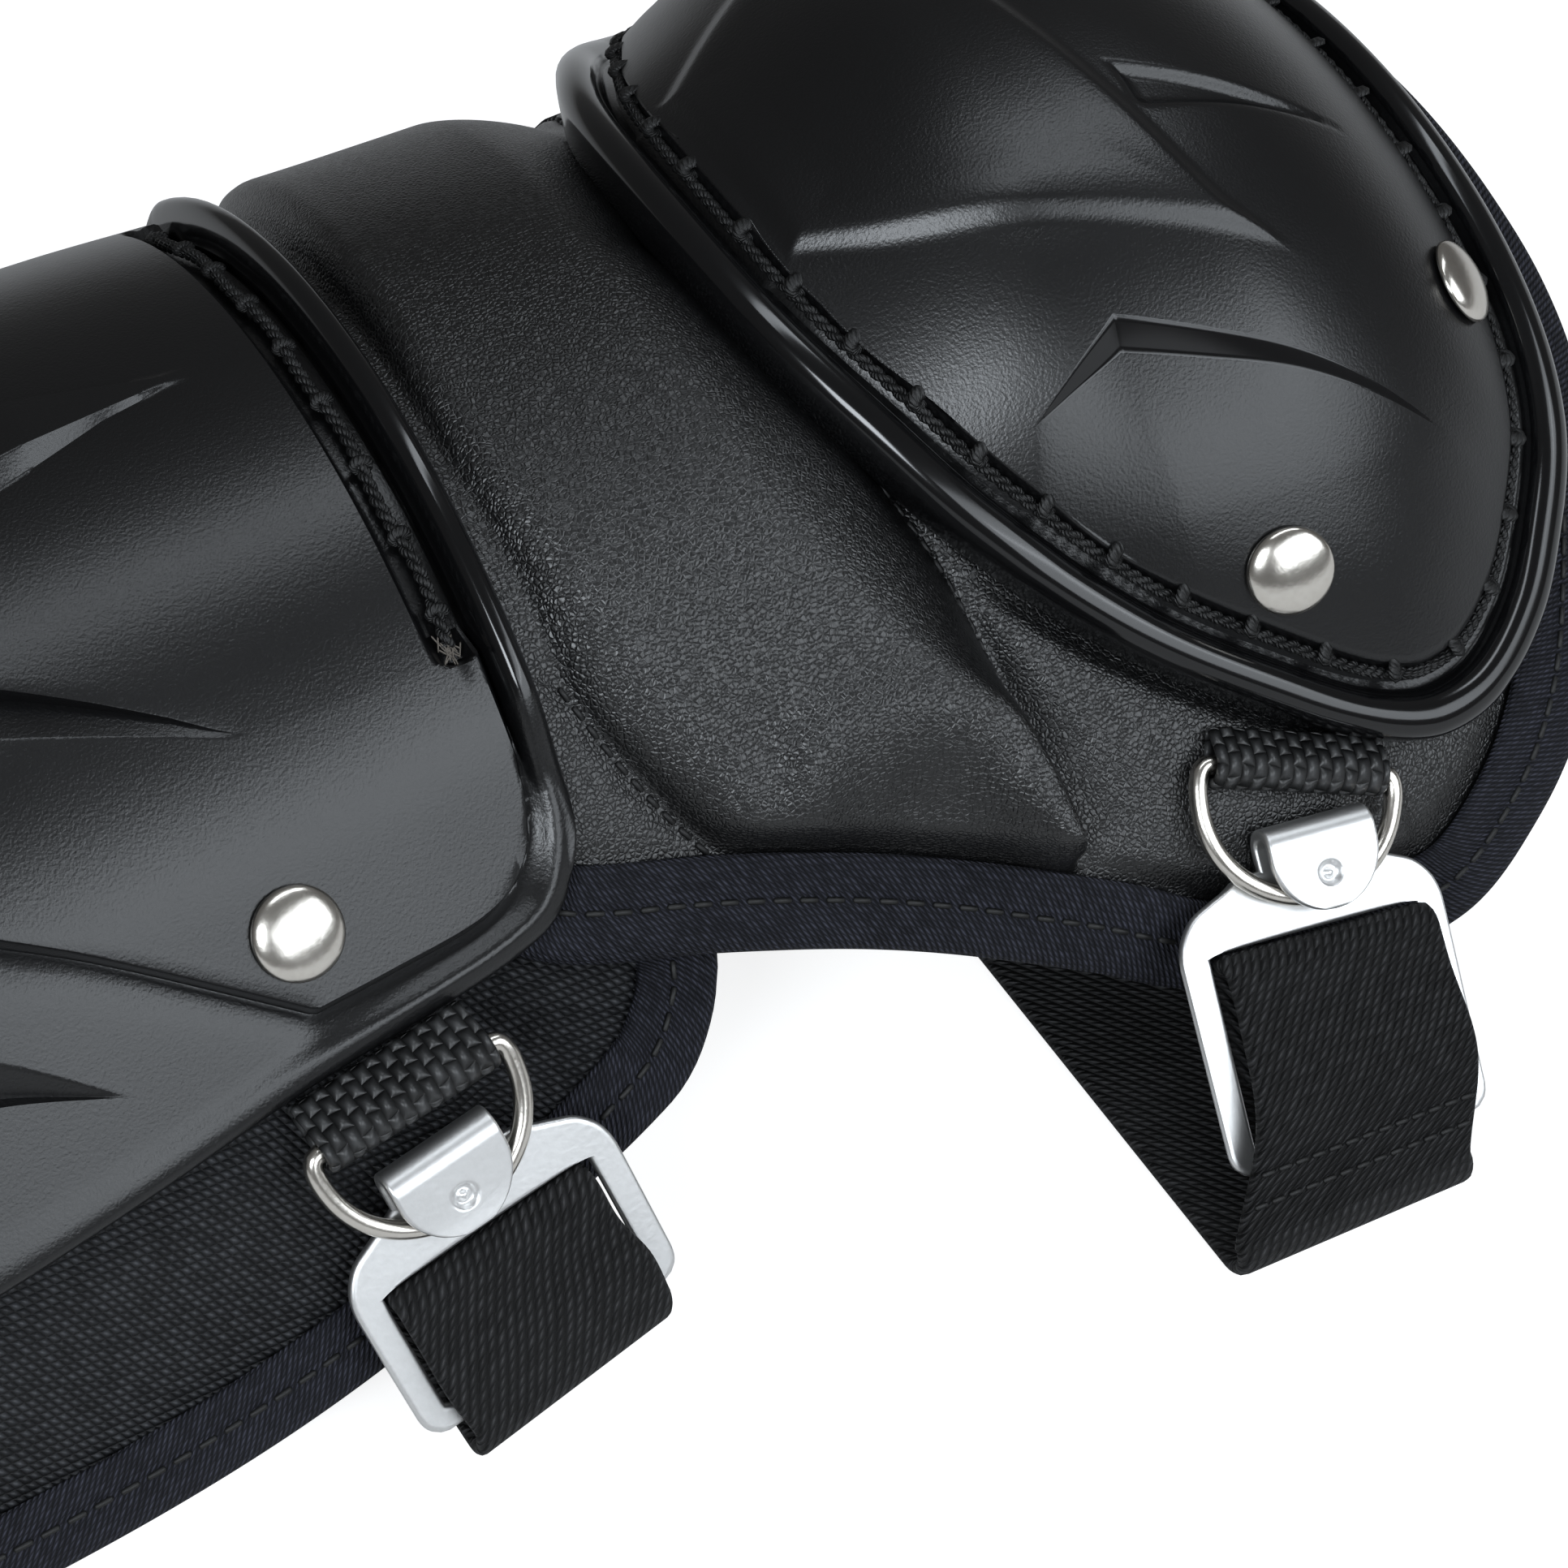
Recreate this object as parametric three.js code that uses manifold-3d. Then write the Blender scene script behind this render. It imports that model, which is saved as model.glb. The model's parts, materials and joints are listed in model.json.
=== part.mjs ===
// Leg guard for a baseball catcher, lying on its back with the shin side up.
// Millimetres, +X along the leg toward the thigh, +Z up, clips on the -Y side.
import * as THREE from 'three';
import { mergeVertices } from 'three/addons/utils/BufferGeometryUtils.js';
import Module from 'manifold-3d';

// Driving sizes
const WEB_WIDTH = 23.5;
const WEB_THICK = 1.3;
const STRAP_WIDTH = 31;
const STRAP_THICK = 2.2;
const RIVET_RADIUS = 5.7;
const RIVET_HEIGHT = 2.6;
const RING_WIRE = 2.4;
const RING_WIDTH = 29;
const RING_DEPTH = 18;
const HOOK_WIDTH = 37;
const HOOK_THICK = 1.4;
const TONGUE_WIDTH = 15;
const PAD_THICK = 9;
const PLATE_THICK = 2.7;
const TAPE_WIDTH = 9;
const GAP = 0.5;
const BAND_HEIGHT = 7;
const DOME_HEIGHT = 15.5;
const CAP_RIM = 6;
const CAP_MIDDLE = 93;

// The outside of the padding, section by section along the leg
const BASE = [
  // x, crest height, crest radius, side slope in degrees
  [-300, 76, 56, 56], [-205, 82, 64, 54], [-110, 86, 70, 51], [-65, 86.5, 71, 50],
  [-22, 86, 69, 50], [0, 85.3, 66, 50], [27, 84.2, 66, 50], [48, 83, 69, 48],
  [76, 82.5, 75, 45], [108, 79.5, 77, 44], [135, 72.5, 75, 45], [162, 61.5, 71, 46],
];
const BEND_ARC = 90;
const BEND_RADIUS = 45;
const BEND_SLOPE = 66;

// Half outlines as rows of x and arc from the crest
const SHIN_PLATE_EDGE = [
  [-246, 30], [-244.5, 45], [-239, 60], [-228, 74], [-210, 82], [-185, 89], [-150, 94],
  [-115, 95], [-83, 91.5], [-62, 87.9], [-42, 83.7], [-22.4, 80.6], [-13, 78.6],
  [-6.7, 75.9], [-2.5, 70.5], [-0.5, 64.5], [0, 58],
];
const SHIN_PAD_EDGE = [
  [-263, 60], [-261.5, 78], [-256, 95], [-246, 106], [-230, 113.8], [-200, 120.4], [-150, 126],
  [-110, 128.6], [-83.2, 127.6], [-61.6, 125], [-43.5, 120.7], [-19.7, 112.3], [1.7, 102.2],
  [8.1, 95.7], [11.7, 88.4], [12.5, 78],
];
const KNEE_PAD_EDGE = [
  [-18, 70], [-12, 77], [-5.2, 81.5], [12, 87], [29, 93], [42.5, 99.1], [57.2, 107.5],
  [70, 115.6], [88, 121], [108, 119.5], [121, 109.5], [134.5, 94], [144, 78],
  [151, 62.5], [155.2, 48], [156.5, 36],
];
const SHIN_PAD_END = [-263, 0];
const KNEE_PAD_END = [156.5, 0];
const CAP_RIM_LINE = [
  [40.8, 0], [41.6, 13], [43.9, 24], [48.5, 36], [56.6, 52], [71.2, 71.3], [88.4, 86],
  [102.3, 92.8], [114.3, 91.2], [127.1, 80.6], [136.5, 66.4], [142, 50], [144.5, 33],
  [145.5, 16], [145.7, 0],
];
// Edge of the raised middle of the shin plate, as rows of x and arc
const SHIN_STEP = [
  [-246, 30], [-200, 38], [-150, 42], [-110, 43], [-85, 46], [-68.7, 53.6], [-54, 65.9], [-38.4, 75.4],
  [-24.1, 73.3], [-12.9, 71.5], [-8.3, 68.1], [-4.2, 61], [0, 52],
];
// Lower edge of the flex roll, its upper edge, and the lower rim of the cap, by arc
const ROLL_LOW = [[0, 4.5], [18, 5.1], [38, 9.7], [56, 16.7], [72, 24], [100, 30], [130, 32]];
const ROLL_TOP = [[0, 36.5], [24, 39.5], [36, 44], [46, 51], [62, 59.3], [80, 61], [96, 61], [130, 63]];
const RIM_LOW = [[0, 40.8], [24, 43.9], [36, 48.5], [52, 56.6], [71.3, 71.2], [86, 88.4], [93, 101], [130, 106]];
const PANEL_SIDE = [[53, 14], [62.7, 19.1], [75.2, 23.8], [101.7, 33.6], [110, 37]];
const CHEVRON = [[0, 89.5], [15.4, 94.4], [28.9, 99.3], [34.5, 103.5], [60, 124]];
const BOOMERANG = [[66, 45], [68.1, 43.8], [80, 38.5], [101.3, 46.4], [119.6, 57.8], [124, 61]];

// Smooth curve through a table: Hermite pieces with slopes taken from the neighbours
function smooth(rows, column, x) {
  const last = rows.length - 1;
  const q = Math.min(Math.max(x, rows[0][0]), rows[last][0]);
  let i = 0;
  while (i < last - 1 && q >= rows[i + 1][0]) i += 1;
  const slope = (k) => {
    const lo = Math.max(k - 1, 0);
    const hi = Math.min(k + 1, last);
    return (rows[hi][column] - rows[lo][column]) / (rows[hi][0] - rows[lo][0]);
  };
  const w = rows[i + 1][0] - rows[i][0];
  const t = (q - rows[i][0]) / w;
  const a = rows[i][column] * (2 * t ** 3 - 3 * t * t + 1);
  const b = rows[i + 1][column] * (3 * t * t - 2 * t ** 3);
  const c = slope(i) * w * (t ** 3 - 2 * t * t + t);
  const d = slope(i + 1) * w * (t ** 3 - t * t);
  return a + b + c + d;
}
function straight(rows, column, x) {
  const last = rows.length - 1;
  const q = Math.min(Math.max(x, rows[0][0]), rows[last][0]);
  let i = 0;
  while (i < last - 1 && q >= rows[i + 1][0]) i += 1;
  const t = (q - rows[i][0]) / (rows[i + 1][0] - rows[i][0]);
  return rows[i][column] * (1 - t) + rows[i + 1][column] * t;
}
function ease(t) {
  const q = Math.min(Math.max(t, 0), 1);
  return q * q * (3 - 2 * q);
}
const rad = (deg) => (deg * Math.PI) / 180;

// A point of the guard from its place along the leg, its arc from the crest and its height
function place(x, arc, height) {
  const crest = smooth(BASE, 1, x);
  const radius = smooth(BASE, 2, x);
  const slope = rad(smooth(BASE, 3, x));
  const low = rad(BEND_SLOPE);
  const A = Math.abs(arc);
  const first = Math.min(A, radius * slope) / radius;
  const flat = Math.min(Math.max(A - radius * slope, 0), BEND_ARC - radius * slope);
  const turn = Math.min(Math.max(A - BEND_ARC, 0), BEND_RADIUS * (low - slope)) / BEND_RADIUS;
  const tail = Math.max(A - BEND_ARC - BEND_RADIUS * (low - slope), 0);
  const third = slope + turn;
  const y = radius * Math.sin(first) + flat * Math.cos(slope)
    + BEND_RADIUS * (Math.sin(third) - Math.sin(slope)) + tail * Math.cos(low);
  const z = crest - radius * (1 - Math.cos(first)) - flat * Math.sin(slope)
    - BEND_RADIUS * (Math.cos(slope) - Math.cos(third)) - tail * Math.sin(low);
  const lean = first + turn;
  const side = arc < 0 ? -1 : 1;
  return new THREE.Vector3(x, side * (y + height * Math.sin(lean)), z + height * Math.cos(lean));
}

// Materials
const steel = new THREE.MeshStandardMaterial({ color: 0xd8d4cc, roughness: 0.2, metalness: 1 });
const shell = new THREE.MeshStandardMaterial({ color: 0x17171a, roughness: 0.42, metalness: 0 });
const hide = new THREE.MeshStandardMaterial({ color: 0x141416, roughness: 0.5, metalness: 0 });
const knit = new THREE.MeshStandardMaterial({ color: 0x121316, roughness: 0.95, metalness: 0 });
const tape = new THREE.MeshStandardMaterial({ color: 0x15161c, roughness: 0.95, metalness: 0 });
const elastic = new THREE.MeshStandardMaterial({ color: 0x131314, roughness: 0.9, metalness: 0 });
const group = new THREE.Group();
group.name = 'leg_guard';

function geometryOf(points, faces) {
  let volume = 0;
  for (const [a, b, c] of faces) {
    volume += points[a].dot(new THREE.Vector3().crossVectors(points[b], points[c]));
  }
  const flat = points.flatMap((p) => [p.x, p.y, p.z]);
  const index = faces.flatMap(([a, b, c]) => (volume < 0 ? [a, c, b] : [a, b, c]));
  const geometry = new THREE.BufferGeometry();
  geometry.setAttribute('position', new THREE.Float32BufferAttribute(flat, 3));
  geometry.setIndex(index);
  geometry.computeVertexNormals();
  return geometry;
}
function add(name, geometry, material) {
  const mesh = new THREE.Mesh(geometry, material);
  mesh.name = name;
  group.add(mesh);
  return mesh;
}

// Closed sheet between an outer and an inner grid of points
function sheet(rows, columns, outer, inner) {
  const points = [];
  const faces = [];
  for (const side of [outer, inner]) {
    for (let i = 0; i <= rows; i += 1) for (let j = 0; j <= columns; j += 1) points.push(side(i, j));
  }
  const size = (rows + 1) * (columns + 1);
  const at = (k, i, j) => k * size + i * (columns + 1) + j;
  const quad = (a, b, c, d) => faces.push([a, b, c], [a, c, d]);
  for (let i = 0; i < rows; i += 1) {
    for (let j = 0; j < columns; j += 1) {
      quad(at(0, i, j), at(0, i + 1, j), at(0, i + 1, j + 1), at(0, i, j + 1));
      quad(at(1, i, j), at(1, i, j + 1), at(1, i + 1, j + 1), at(1, i + 1, j));
    }
    quad(at(0, i, 0), at(1, i, 0), at(1, i + 1, 0), at(0, i + 1, 0));
    quad(at(0, i, columns), at(0, i + 1, columns), at(1, i + 1, columns), at(1, i, columns));
  }
  for (let j = 0; j < columns; j += 1) {
    quad(at(0, 0, j), at(0, 0, j + 1), at(1, 0, j + 1), at(1, 0, j));
    quad(at(0, rows, j), at(1, rows, j), at(1, rows, j + 1), at(0, rows, j + 1));
  }
  return geometryOf(points, faces);
}
// Closed solid from rings of equal count between two end points
function ringSolid(first, rings, last) {
  const n = rings[0].length;
  const points = [first, ...rings.flat(), last];
  const faces = [];
  const at = (k, j) => 1 + k * n + (j % n);
  for (let j = 0; j < n; j += 1) {
    faces.push([0, at(0, j), at(0, j + 1)]);
    faces.push([points.length - 1, at(rings.length - 1, j + 1), at(rings.length - 1, j)]);
    for (let k = 0; k + 1 < rings.length; k += 1) {
      faces.push([at(k, j), at(k + 1, j), at(k + 1, j + 1)], [at(k, j), at(k + 1, j + 1), at(k, j + 1)]);
    }
  }
  return geometryOf(points, faces);
}
// A profile carried along stations; ends closed with fans, or joined for a loop
function carried(stations, loop) {
  const n = stations[0].length;
  const m = stations.length;
  const points = stations.flat();
  const faces = [];
  const at = (k, j) => (k % m) * n + (j % n);
  for (let k = 0; k < (loop ? m : m - 1); k += 1) {
    for (let j = 0; j < n; j += 1) {
      faces.push([at(k, j), at(k, j + 1), at(k + 1, j + 1)], [at(k, j), at(k + 1, j + 1), at(k + 1, j)]);
    }
  }
  if (!loop) {
    const outline = carried.outline;
    const sense = Math.sign(THREE.ShapeUtils.area(outline));
    for (const [a, p, q] of THREE.ShapeUtils.triangulateShape(outline, [])) {
      const same = Math.sign(THREE.ShapeUtils.area([outline[a], outline[p], outline[q]])) === sense;
      const [b, c] = same ? [p, q] : [q, p];
      faces.push([at(0, a), at(0, c), at(0, b)], [at(m - 1, a), at(m - 1, b), at(m - 1, c)]);
    }
  }
  return geometryOf(points, faces);
}

// Distance from a point of the flat pattern to an outline, both sides of it
function edgeDistance(outline, x, arc) {
  const end = outline === SHIN_PAD_EDGE ? SHIN_PAD_END : KNEE_PAD_END;
  const rows = end === SHIN_PAD_END ? [end, ...outline] : [...outline, end];
  let best = 1e9;
  const A = Math.abs(arc);
  for (let i = 0; i + 1 < rows.length; i += 1) {
    const [x0, a0] = rows[i];
    const dx = rows[i + 1][0] - x0;
    const da = rows[i + 1][1] - a0;
    const t = Math.min(Math.max(((x - x0) * dx + (A - a0) * da) / (dx * dx + da * da), 0), 1);
    best = Math.min(best, Math.hypot(x - x0 - t * dx, A - a0 - t * da));
  }
  return best;
}

// Shin plate: bead and lacing groove along the top, raised middle, wedges sunk in
function inWedge(x, A, tip, tail, halfTip, halfTail) {
  const t = (tip[0] - x) / (tip[0] - tail[0]);
  const middle = tip[1] + (tail[1] - tip[1]) * t;
  const half = halfTip + (halfTail - halfTip) * t;
  return t < 0 || t > 1.15 ? 0 : ease((half - Math.abs(A - middle)) / 1.2);
}
function shinRelief(x, arc) {
  const A = Math.abs(arc);
  const step = straight(SHIN_STEP, 1, x);
  let h = 1.2 * ease((step + 0.8 - A) / 1.6);
  h += 1.0 * ease((0.17 * (-20 - x) - A) / 1.5) * ease((-20 - x) / 4);
  h += 2.6 * ease((x + 5) / 1.8) * ease((66 - A) / 8);
  h -= 1.8 * ease((x + 9.5) / 1.5) * ease((-4.2 - x) / 1.2) * ease((45 - A) / 3);
  h -= 1.5 * inWedge(x, A, [-34.3, 43.7], [-84, 17], 0.2, 5);
  h -= 1.3 * inWedge(x, A, [-61.8, 76.3], [-100, 46], 0.2, 6);
  return h;
}
const shinX = [-246, -244.5, -239, -228, -210, -185, -155, -125, -100, -84, -70, -61, -52, -44,
  -36, -28, -20, -13, -9.5, -8, -4.6, -3.2, -1.2, 0];
const shinV = [0, 4.5, 10];
const shinColumns = 2 * (shinV.length + 6);
function shinArc(i, j) {
  const x = shinX[i];
  const edge = smooth(SHIN_PLATE_EDGE, 1, x);
  const step = Math.min(straight(SHIN_STEP, 1, x), edge - 4);
  const half = [0, step * 0.13, step * 0.32, step * 0.55, step * 0.78, step - 0.8, step + 0.8,
    step + 0.4 * (edge - step), step + 0.72 * (edge - step), edge];
  const k = j - (half.length - 1);
  return Math.sign(k) * half[Math.abs(k)];
}
add('shin_plate', sheet(
  shinX.length - 1, shinColumns,
  (i, j) => place(shinX[i], shinArc(i, j), GAP + PLATE_THICK + shinRelief(shinX[i], shinArc(i, j))),
  (i, j) => place(shinX[i], shinArc(i, j), GAP),
), shell);

// Shin pad: knit faced, thinner at its bound edge, lower where the leather tongue lies on it
const shinLevel = (x, arc) => -5.5 * ease((x + 27) / 8) * (1 - 0.6 * Math.min(Math.max((Math.abs(arc) - 92) / 12, 0), 1));
function padHeights(rows, x, arc, outer, inner) {
  const d = edgeDistance(rows, x, arc);
  const open = ease((d - TAPE_WIDTH - 1.4) / 6);
  return [-1.45 + (outer + 1.45) * open, -2.05 + (inner + 2.05) * open];
}
const padX = [-263, -261.5, -257, -252, -245, -230, -200, -165, -130, -100, -75, -50, -34, -27, -23, -19,
  -8, 2, 8, 11.5, 12.5];
const padShare = [0, 0.17, 0.34, 0.51, 0.68, 0.86, 1];
const padColumns = padShare.length + 1;
const padArc = (rows, x, j) => {
  const k = j - padColumns;
  const edge = smooth(rows, 1, x);
  const half = [...padShare.map((v) => v * (edge - 17)), edge - 10.2, edge];
  return Math.sign(k) * half[Math.abs(k)];
};
function shinPadPoint(i, j, side) {
  const x = padX[i];
  const arc = padArc(SHIN_PAD_EDGE, x, j);
  return place(x, arc, shinLevel(x, arc) + padHeights(SHIN_PAD_EDGE, x, arc, -0.5, -7)[side]);
}
add('shin_pad', sheet(
  padX.length - 1, 2 * padColumns,
  (i, j) => shinPadPoint(i, j, 0), (i, j) => shinPadPoint(i, j, 1),
), knit);

// Knee pad: leather tongue under the shin plate, raised flex roll, second roll, wings
const kneeLevel = (x) => -0.8 * ease((2 - x) / 8);
function kneeRelief(x, arc) {
  const A = Math.abs(arc);
  const low = smooth(ROLL_LOW, 1, A);
  const top = smooth(ROLL_TOP, 1, A);
  const rim = smooth(RIM_LOW, 1, A);
  const s = (x - low) / (top - low);
  const tall = BAND_HEIGHT * (1 - 0.72 * ease((A - 42) / 34));
  let h = tall * ease(s / 0.2) * ease((1 - s) / 0.16);
  const t = (x - top) / Math.max(rim - 3 - top, 1);
  const puff = 3.4 * ease((rim - top - 6) / 8) * (1 - ease((A - 68) / 14));
  if (t > 0 && t < 1 && rim - top > 6) h += puff * Math.sin(Math.PI * t) ** 0.7;
  h -= 2.2 * Math.exp(-(((x - 23) / 6) ** 2) - ((A - 70) / 7) ** 2);
  h += 1.6 * Math.exp(-(((x - 42) / 8) ** 2) - ((A - 74) / 9) ** 2);
  return h;
}
const guides = [
  [() => -18, 2], [() => 1.2, 1], [(A) => smooth(ROLL_LOW, 1, A), 6], [(A) => smooth(ROLL_TOP, 1, A), 3],
  [(A) => smooth(RIM_LOW, 1, A) - 2.5, 1], [(A) => smooth(RIM_LOW, 1, A) + 4, 3],
  [(A) => 118 + 0.03 * A, 2], [() => 137, 6], [() => 156.5, 0],
];
const kneeRows = [];
for (let g = 0; g + 1 < guides.length; g += 1) {
  for (let k = 0; k < guides[g][1]; k += 1) kneeRows.push([g, k / guides[g][1]]);
}
kneeRows.push([guides.length - 2, 1]);
function kneePlan(i, j) {
  const [g, t] = kneeRows[i];
  let x = 40;
  let arc = 0;
  const late = g === guides.length - 2 ? Math.sin(t * Math.PI / 2) : t;
  for (let n = 0; n < 40; n += 1) {
    arc = padArc(KNEE_PAD_EDGE, x, j);
    const next = guides[g][0](Math.abs(arc)) * (1 - late) + guides[g + 1][0](Math.abs(arc)) * late;
    x += 0.6 * (next - x);
  }
  return [x, arc];
}
function kneePadPoint(i, j, side) {
  const [x, arc] = kneePlan(i, j);
  const start = Math.max(15.5, smooth(ROLL_LOW, 1, Math.abs(arc)) + 1.5);
  const under = -3.2 - (PAD_THICK - 3.2) * ease((x - start) / 5);
  return place(x, arc, kneeLevel(x) + padHeights(KNEE_PAD_EDGE, x, arc, kneeRelief(x, arc), under)[side]);
}
add('knee_pad', sheet(
  kneeRows.length - 1, 2 * padColumns,
  (i, j) => kneePadPoint(i, j, 0), (i, j) => kneePadPoint(i, j, 1),
), hide);

// Binding tape: one folded profile carried along a pad's edge in the flat pattern
const TAPE_PROFILE = [
  // outward from the edge, height
  [-TAPE_WIDTH, 0.7], [1.4, 0.6], [2.1, -1.75], [1.4, -4.1], [-TAPE_WIDTH, -4.2],
  [-TAPE_WIDTH, -3.1], [1, -3.05], [1, -0.45], [-TAPE_WIDTH, -0.4],
];
carried.outline = TAPE_PROFILE.map(([e, h]) => new THREE.Vector2(e, h));
function binding(path, level) {
  return carried(path.map(([px, pa], i) => {
    const [ax, aa] = path[Math.max(i - 1, 0)];
    const [bx, ba] = path[Math.min(i + 1, path.length - 1)];
    const t = new THREE.Vector2(bx - ax, ba - aa).normalize();
    const turn = Math.sign(path[0][1] * (path[path.length >> 1][0] - path[0][0]));
    return TAPE_PROFILE.map(([e, h]) => {
      const x = px - e * turn * t.y;
      const arc = pa + e * turn * t.x;
      return place(x, arc, h + level(x, arc));
    });
  }), false);
}
// The edge points of a pad's own grid: down one side, across the end, up the other side
function round(side, end, columns) {
  const across = Array.from({ length: columns - 1 }, (_, j) => end(j + 1));
  const back = [...side].reverse().map(([x, arc]) => [x, -arc]);
  return [...side, ...across, ...back];
}
const shinSide = [...padX].reverse().map((x) => [x, padArc(SHIN_PAD_EDGE, x, 0)]);
const kneeSide = kneeRows.map((_, i) => kneePlan(i, 0));
const shinEnd = (j) => [padX[0], padArc(SHIN_PAD_EDGE, padX[0], j)];
const kneeEnd = (j) => kneePlan(kneeRows.length - 1, j);
add('knee_binding', binding(round(kneeSide, kneeEnd, 2 * padColumns), kneeLevel), tape);
add('shin_binding', binding(round(shinSide, shinEnd, 2 * padColumns), shinLevel), tape);

// Knee cap: a dome inside its rim line, with bead, lacing groove and moulded relief
const RIM_COUNT = 56;
function rimPoints(count) {
  const half = CAP_RIM_LINE.map(([x, a]) => new THREE.Vector3(x, a, 0));
  const mirror = CAP_RIM_LINE.slice(1, -1).reverse().map(([x, a]) => new THREE.Vector3(x, -a, 0));
  const curve = new THREE.CatmullRomCurve3([...half, ...mirror], true, 'centripetal');
  return curve.getSpacedPoints(count).slice(0, count);
}
function capRelief(x, arc) {
  const A = Math.abs(arc);
  const inside = Math.min(smooth(PANEL_SIDE, 1, x) - A, x - 53, smooth(CHEVRON, 1, A) - x);
  let h = 1.6 * ease(inside / 2.5 + 0.5);
  const beyond = A - straight(BOOMERANG, 1, x);
  const swell = ease((x - 67) / 13) * ease((120 - x) / 36);
  h -= 2.4 * swell * ease(beyond / 4 + 0.5) * (1 - ease((beyond - 4) / 26));
  const facet = Math.min(A - 12 - 0.36 * (x - 97), 18.5 + 0.16 * (x - 97) - A, x - 97, 126 - x);
  h -= 1.6 * ease(facet / 2);
  return h;
}
const rim = rimPoints(RIM_COUNT);
const centre = new THREE.Vector3(CAP_MIDDLE, 0, 0);
function capHeight(x, arc, t) {
  return CAP_RIM + DOME_HEIGHT * (1 - t * t) + capRelief(x, arc);
}
function capRing(share, inset, height) {
  return rim.map((p) => {
    const reach = p.distanceTo(centre);
    const t = share === null ? 1 - inset / reach : share * (1 - 9.5 / reach);
    const q = centre.clone().lerp(p, t);
    return place(q.x, q.y, height(q.x, q.y, t));
  });
}
const above = (lift) => (x, arc, t) => capHeight(x, arc, t) + lift;
const level = (h) => () => h;
add('knee_cap', ringSolid(
  place(CAP_MIDDLE, 0, capHeight(CAP_MIDDLE, 0, 0)),
  [
    ...[0.16, 0.32, 0.46, 0.6, 0.72, 0.83, 0.92, 1].map((s) => capRing(s, 0, above(0))),
    capRing(null, 8.4, level(5.6)), capRing(null, 5.4, level(5.4)), capRing(null, 4.4, level(7.2)),
    capRing(null, 2.2, level(8.2)), capRing(null, 0.4, level(7)), capRing(null, -0.3, level(GAP)),
    capRing(null, 2.6, level(GAP)), capRing(null, 3.2, level(3)),
    ...[0.92, 0.6, 0.3].map((s) => capRing(s, 0, above(-PLATE_THICK))),
  ],
  place(CAP_MIDDLE, 0, capHeight(CAP_MIDDLE, 0, 0) - PLATE_THICK),
), shell);

// Rivets: domed heads set square on the plates
const RIVET_PROFILE = [[0.42, 0.94], [0.76, 0.64], [0.96, 0.2], [0.98, 0]];
function rivet(name, x, arc, surface) {
  const p = surface(x, arc);
  const u = surface(x + 2, arc).sub(surface(x - 2, arc));
  const v = surface(x, arc + 2).sub(surface(x, arc - 2));
  const n = new THREE.Vector3().crossVectors(u, v).normalize();
  const q = new THREE.Quaternion().setFromUnitVectors(new THREE.Vector3(0, 0, 1), n);
  const seat = p.addScaledVector(n, 0.6);
  const local = (r, turn, h) => new THREE.Vector3(r * Math.cos(turn), r * Math.sin(turn), h)
    .applyQuaternion(q).add(seat);
  const rings = RIVET_PROFILE.map(([r, h]) => Array.from({ length: 14 }, (_, k) => (
    local(r * RIVET_RADIUS, (k / 14) * 2 * Math.PI, h * RIVET_HEIGHT))));
  add(name, ringSolid(local(0, 0, RIVET_HEIGHT), rings, local(0, 0, 0)), steel);
}
const onShin = (x, arc) => place(x, arc, GAP + PLATE_THICK + shinRelief(x, arc));
const onCap = (x, arc) => {
  const q = new THREE.Vector3(x, arc, 0).sub(centre);
  const far = rim.reduce((best, p) => {
    const d = p.clone().sub(centre);
    const turn = Math.abs(d.angleTo(q));
    return turn < best.turn ? { turn, reach: d.length() } : best;
  }, { turn: 9, reach: 1 });
  return place(x, arc, capHeight(x, arc, q.length() / far.reach));
};
[[92.3, -68.8], [127.5, -41], [92.3, 68.8], [127.5, 41]].forEach(([x, arc], k) => {
  rivet(`knee_rivet_${k + 1}`, x, arc, onCap);
});
[[-37.6, -66], [-37.6, 66]].forEach(([x, arc], k) => rivet(`shin_rivet_${k + 1}`, x, arc, onShin));

// Clip sets: webbing tab, D-ring, sheet metal hook and elastic strap, one row each
const CLIPS = [
  // seat of the ring's bar, its lift, slope and turns in degrees, tab length and level, ends of the strap
  {
    name: 'knee', x: 87.5, y: -79, z: 38, lift: 1.1, slope: 43.8, turn: 8, ringTurn: 24,
    tab: 4.4, tabLevel: -2.3, sewn: 46, farEnd: 92,
  },
  {
    name: 'shin', x: -32.5, y: -73.3, z: 42.3, lift: 2, slope: 57, turn: -11, ringTurn: -10,
    tab: 4.9, tabLevel: -4.9, sewn: 30, farEnd: 97,
  },
];
const PLATE_LEVEL = -(RING_WIRE / 2 + 0.95);
const HOOK = { fold: 6.3, lip: 17.3, top: 11.5, slot: 19.5, bar: 38.5, end: 41 };
const FOLD_RADIUS = 3;
const FLOOR_MID = STRAP_THICK / 2 + 0.02;
// Far side of a strap: distance in from the pad's edge and height of its middle, 20 standing for its end
const FAR_SEAT = [[-3, 3.2], [1, 3.2], [5.5, 3.1], [10.5, 2.9], [14, 2.1], [17, 1.9], [20, 1.9]];

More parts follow.
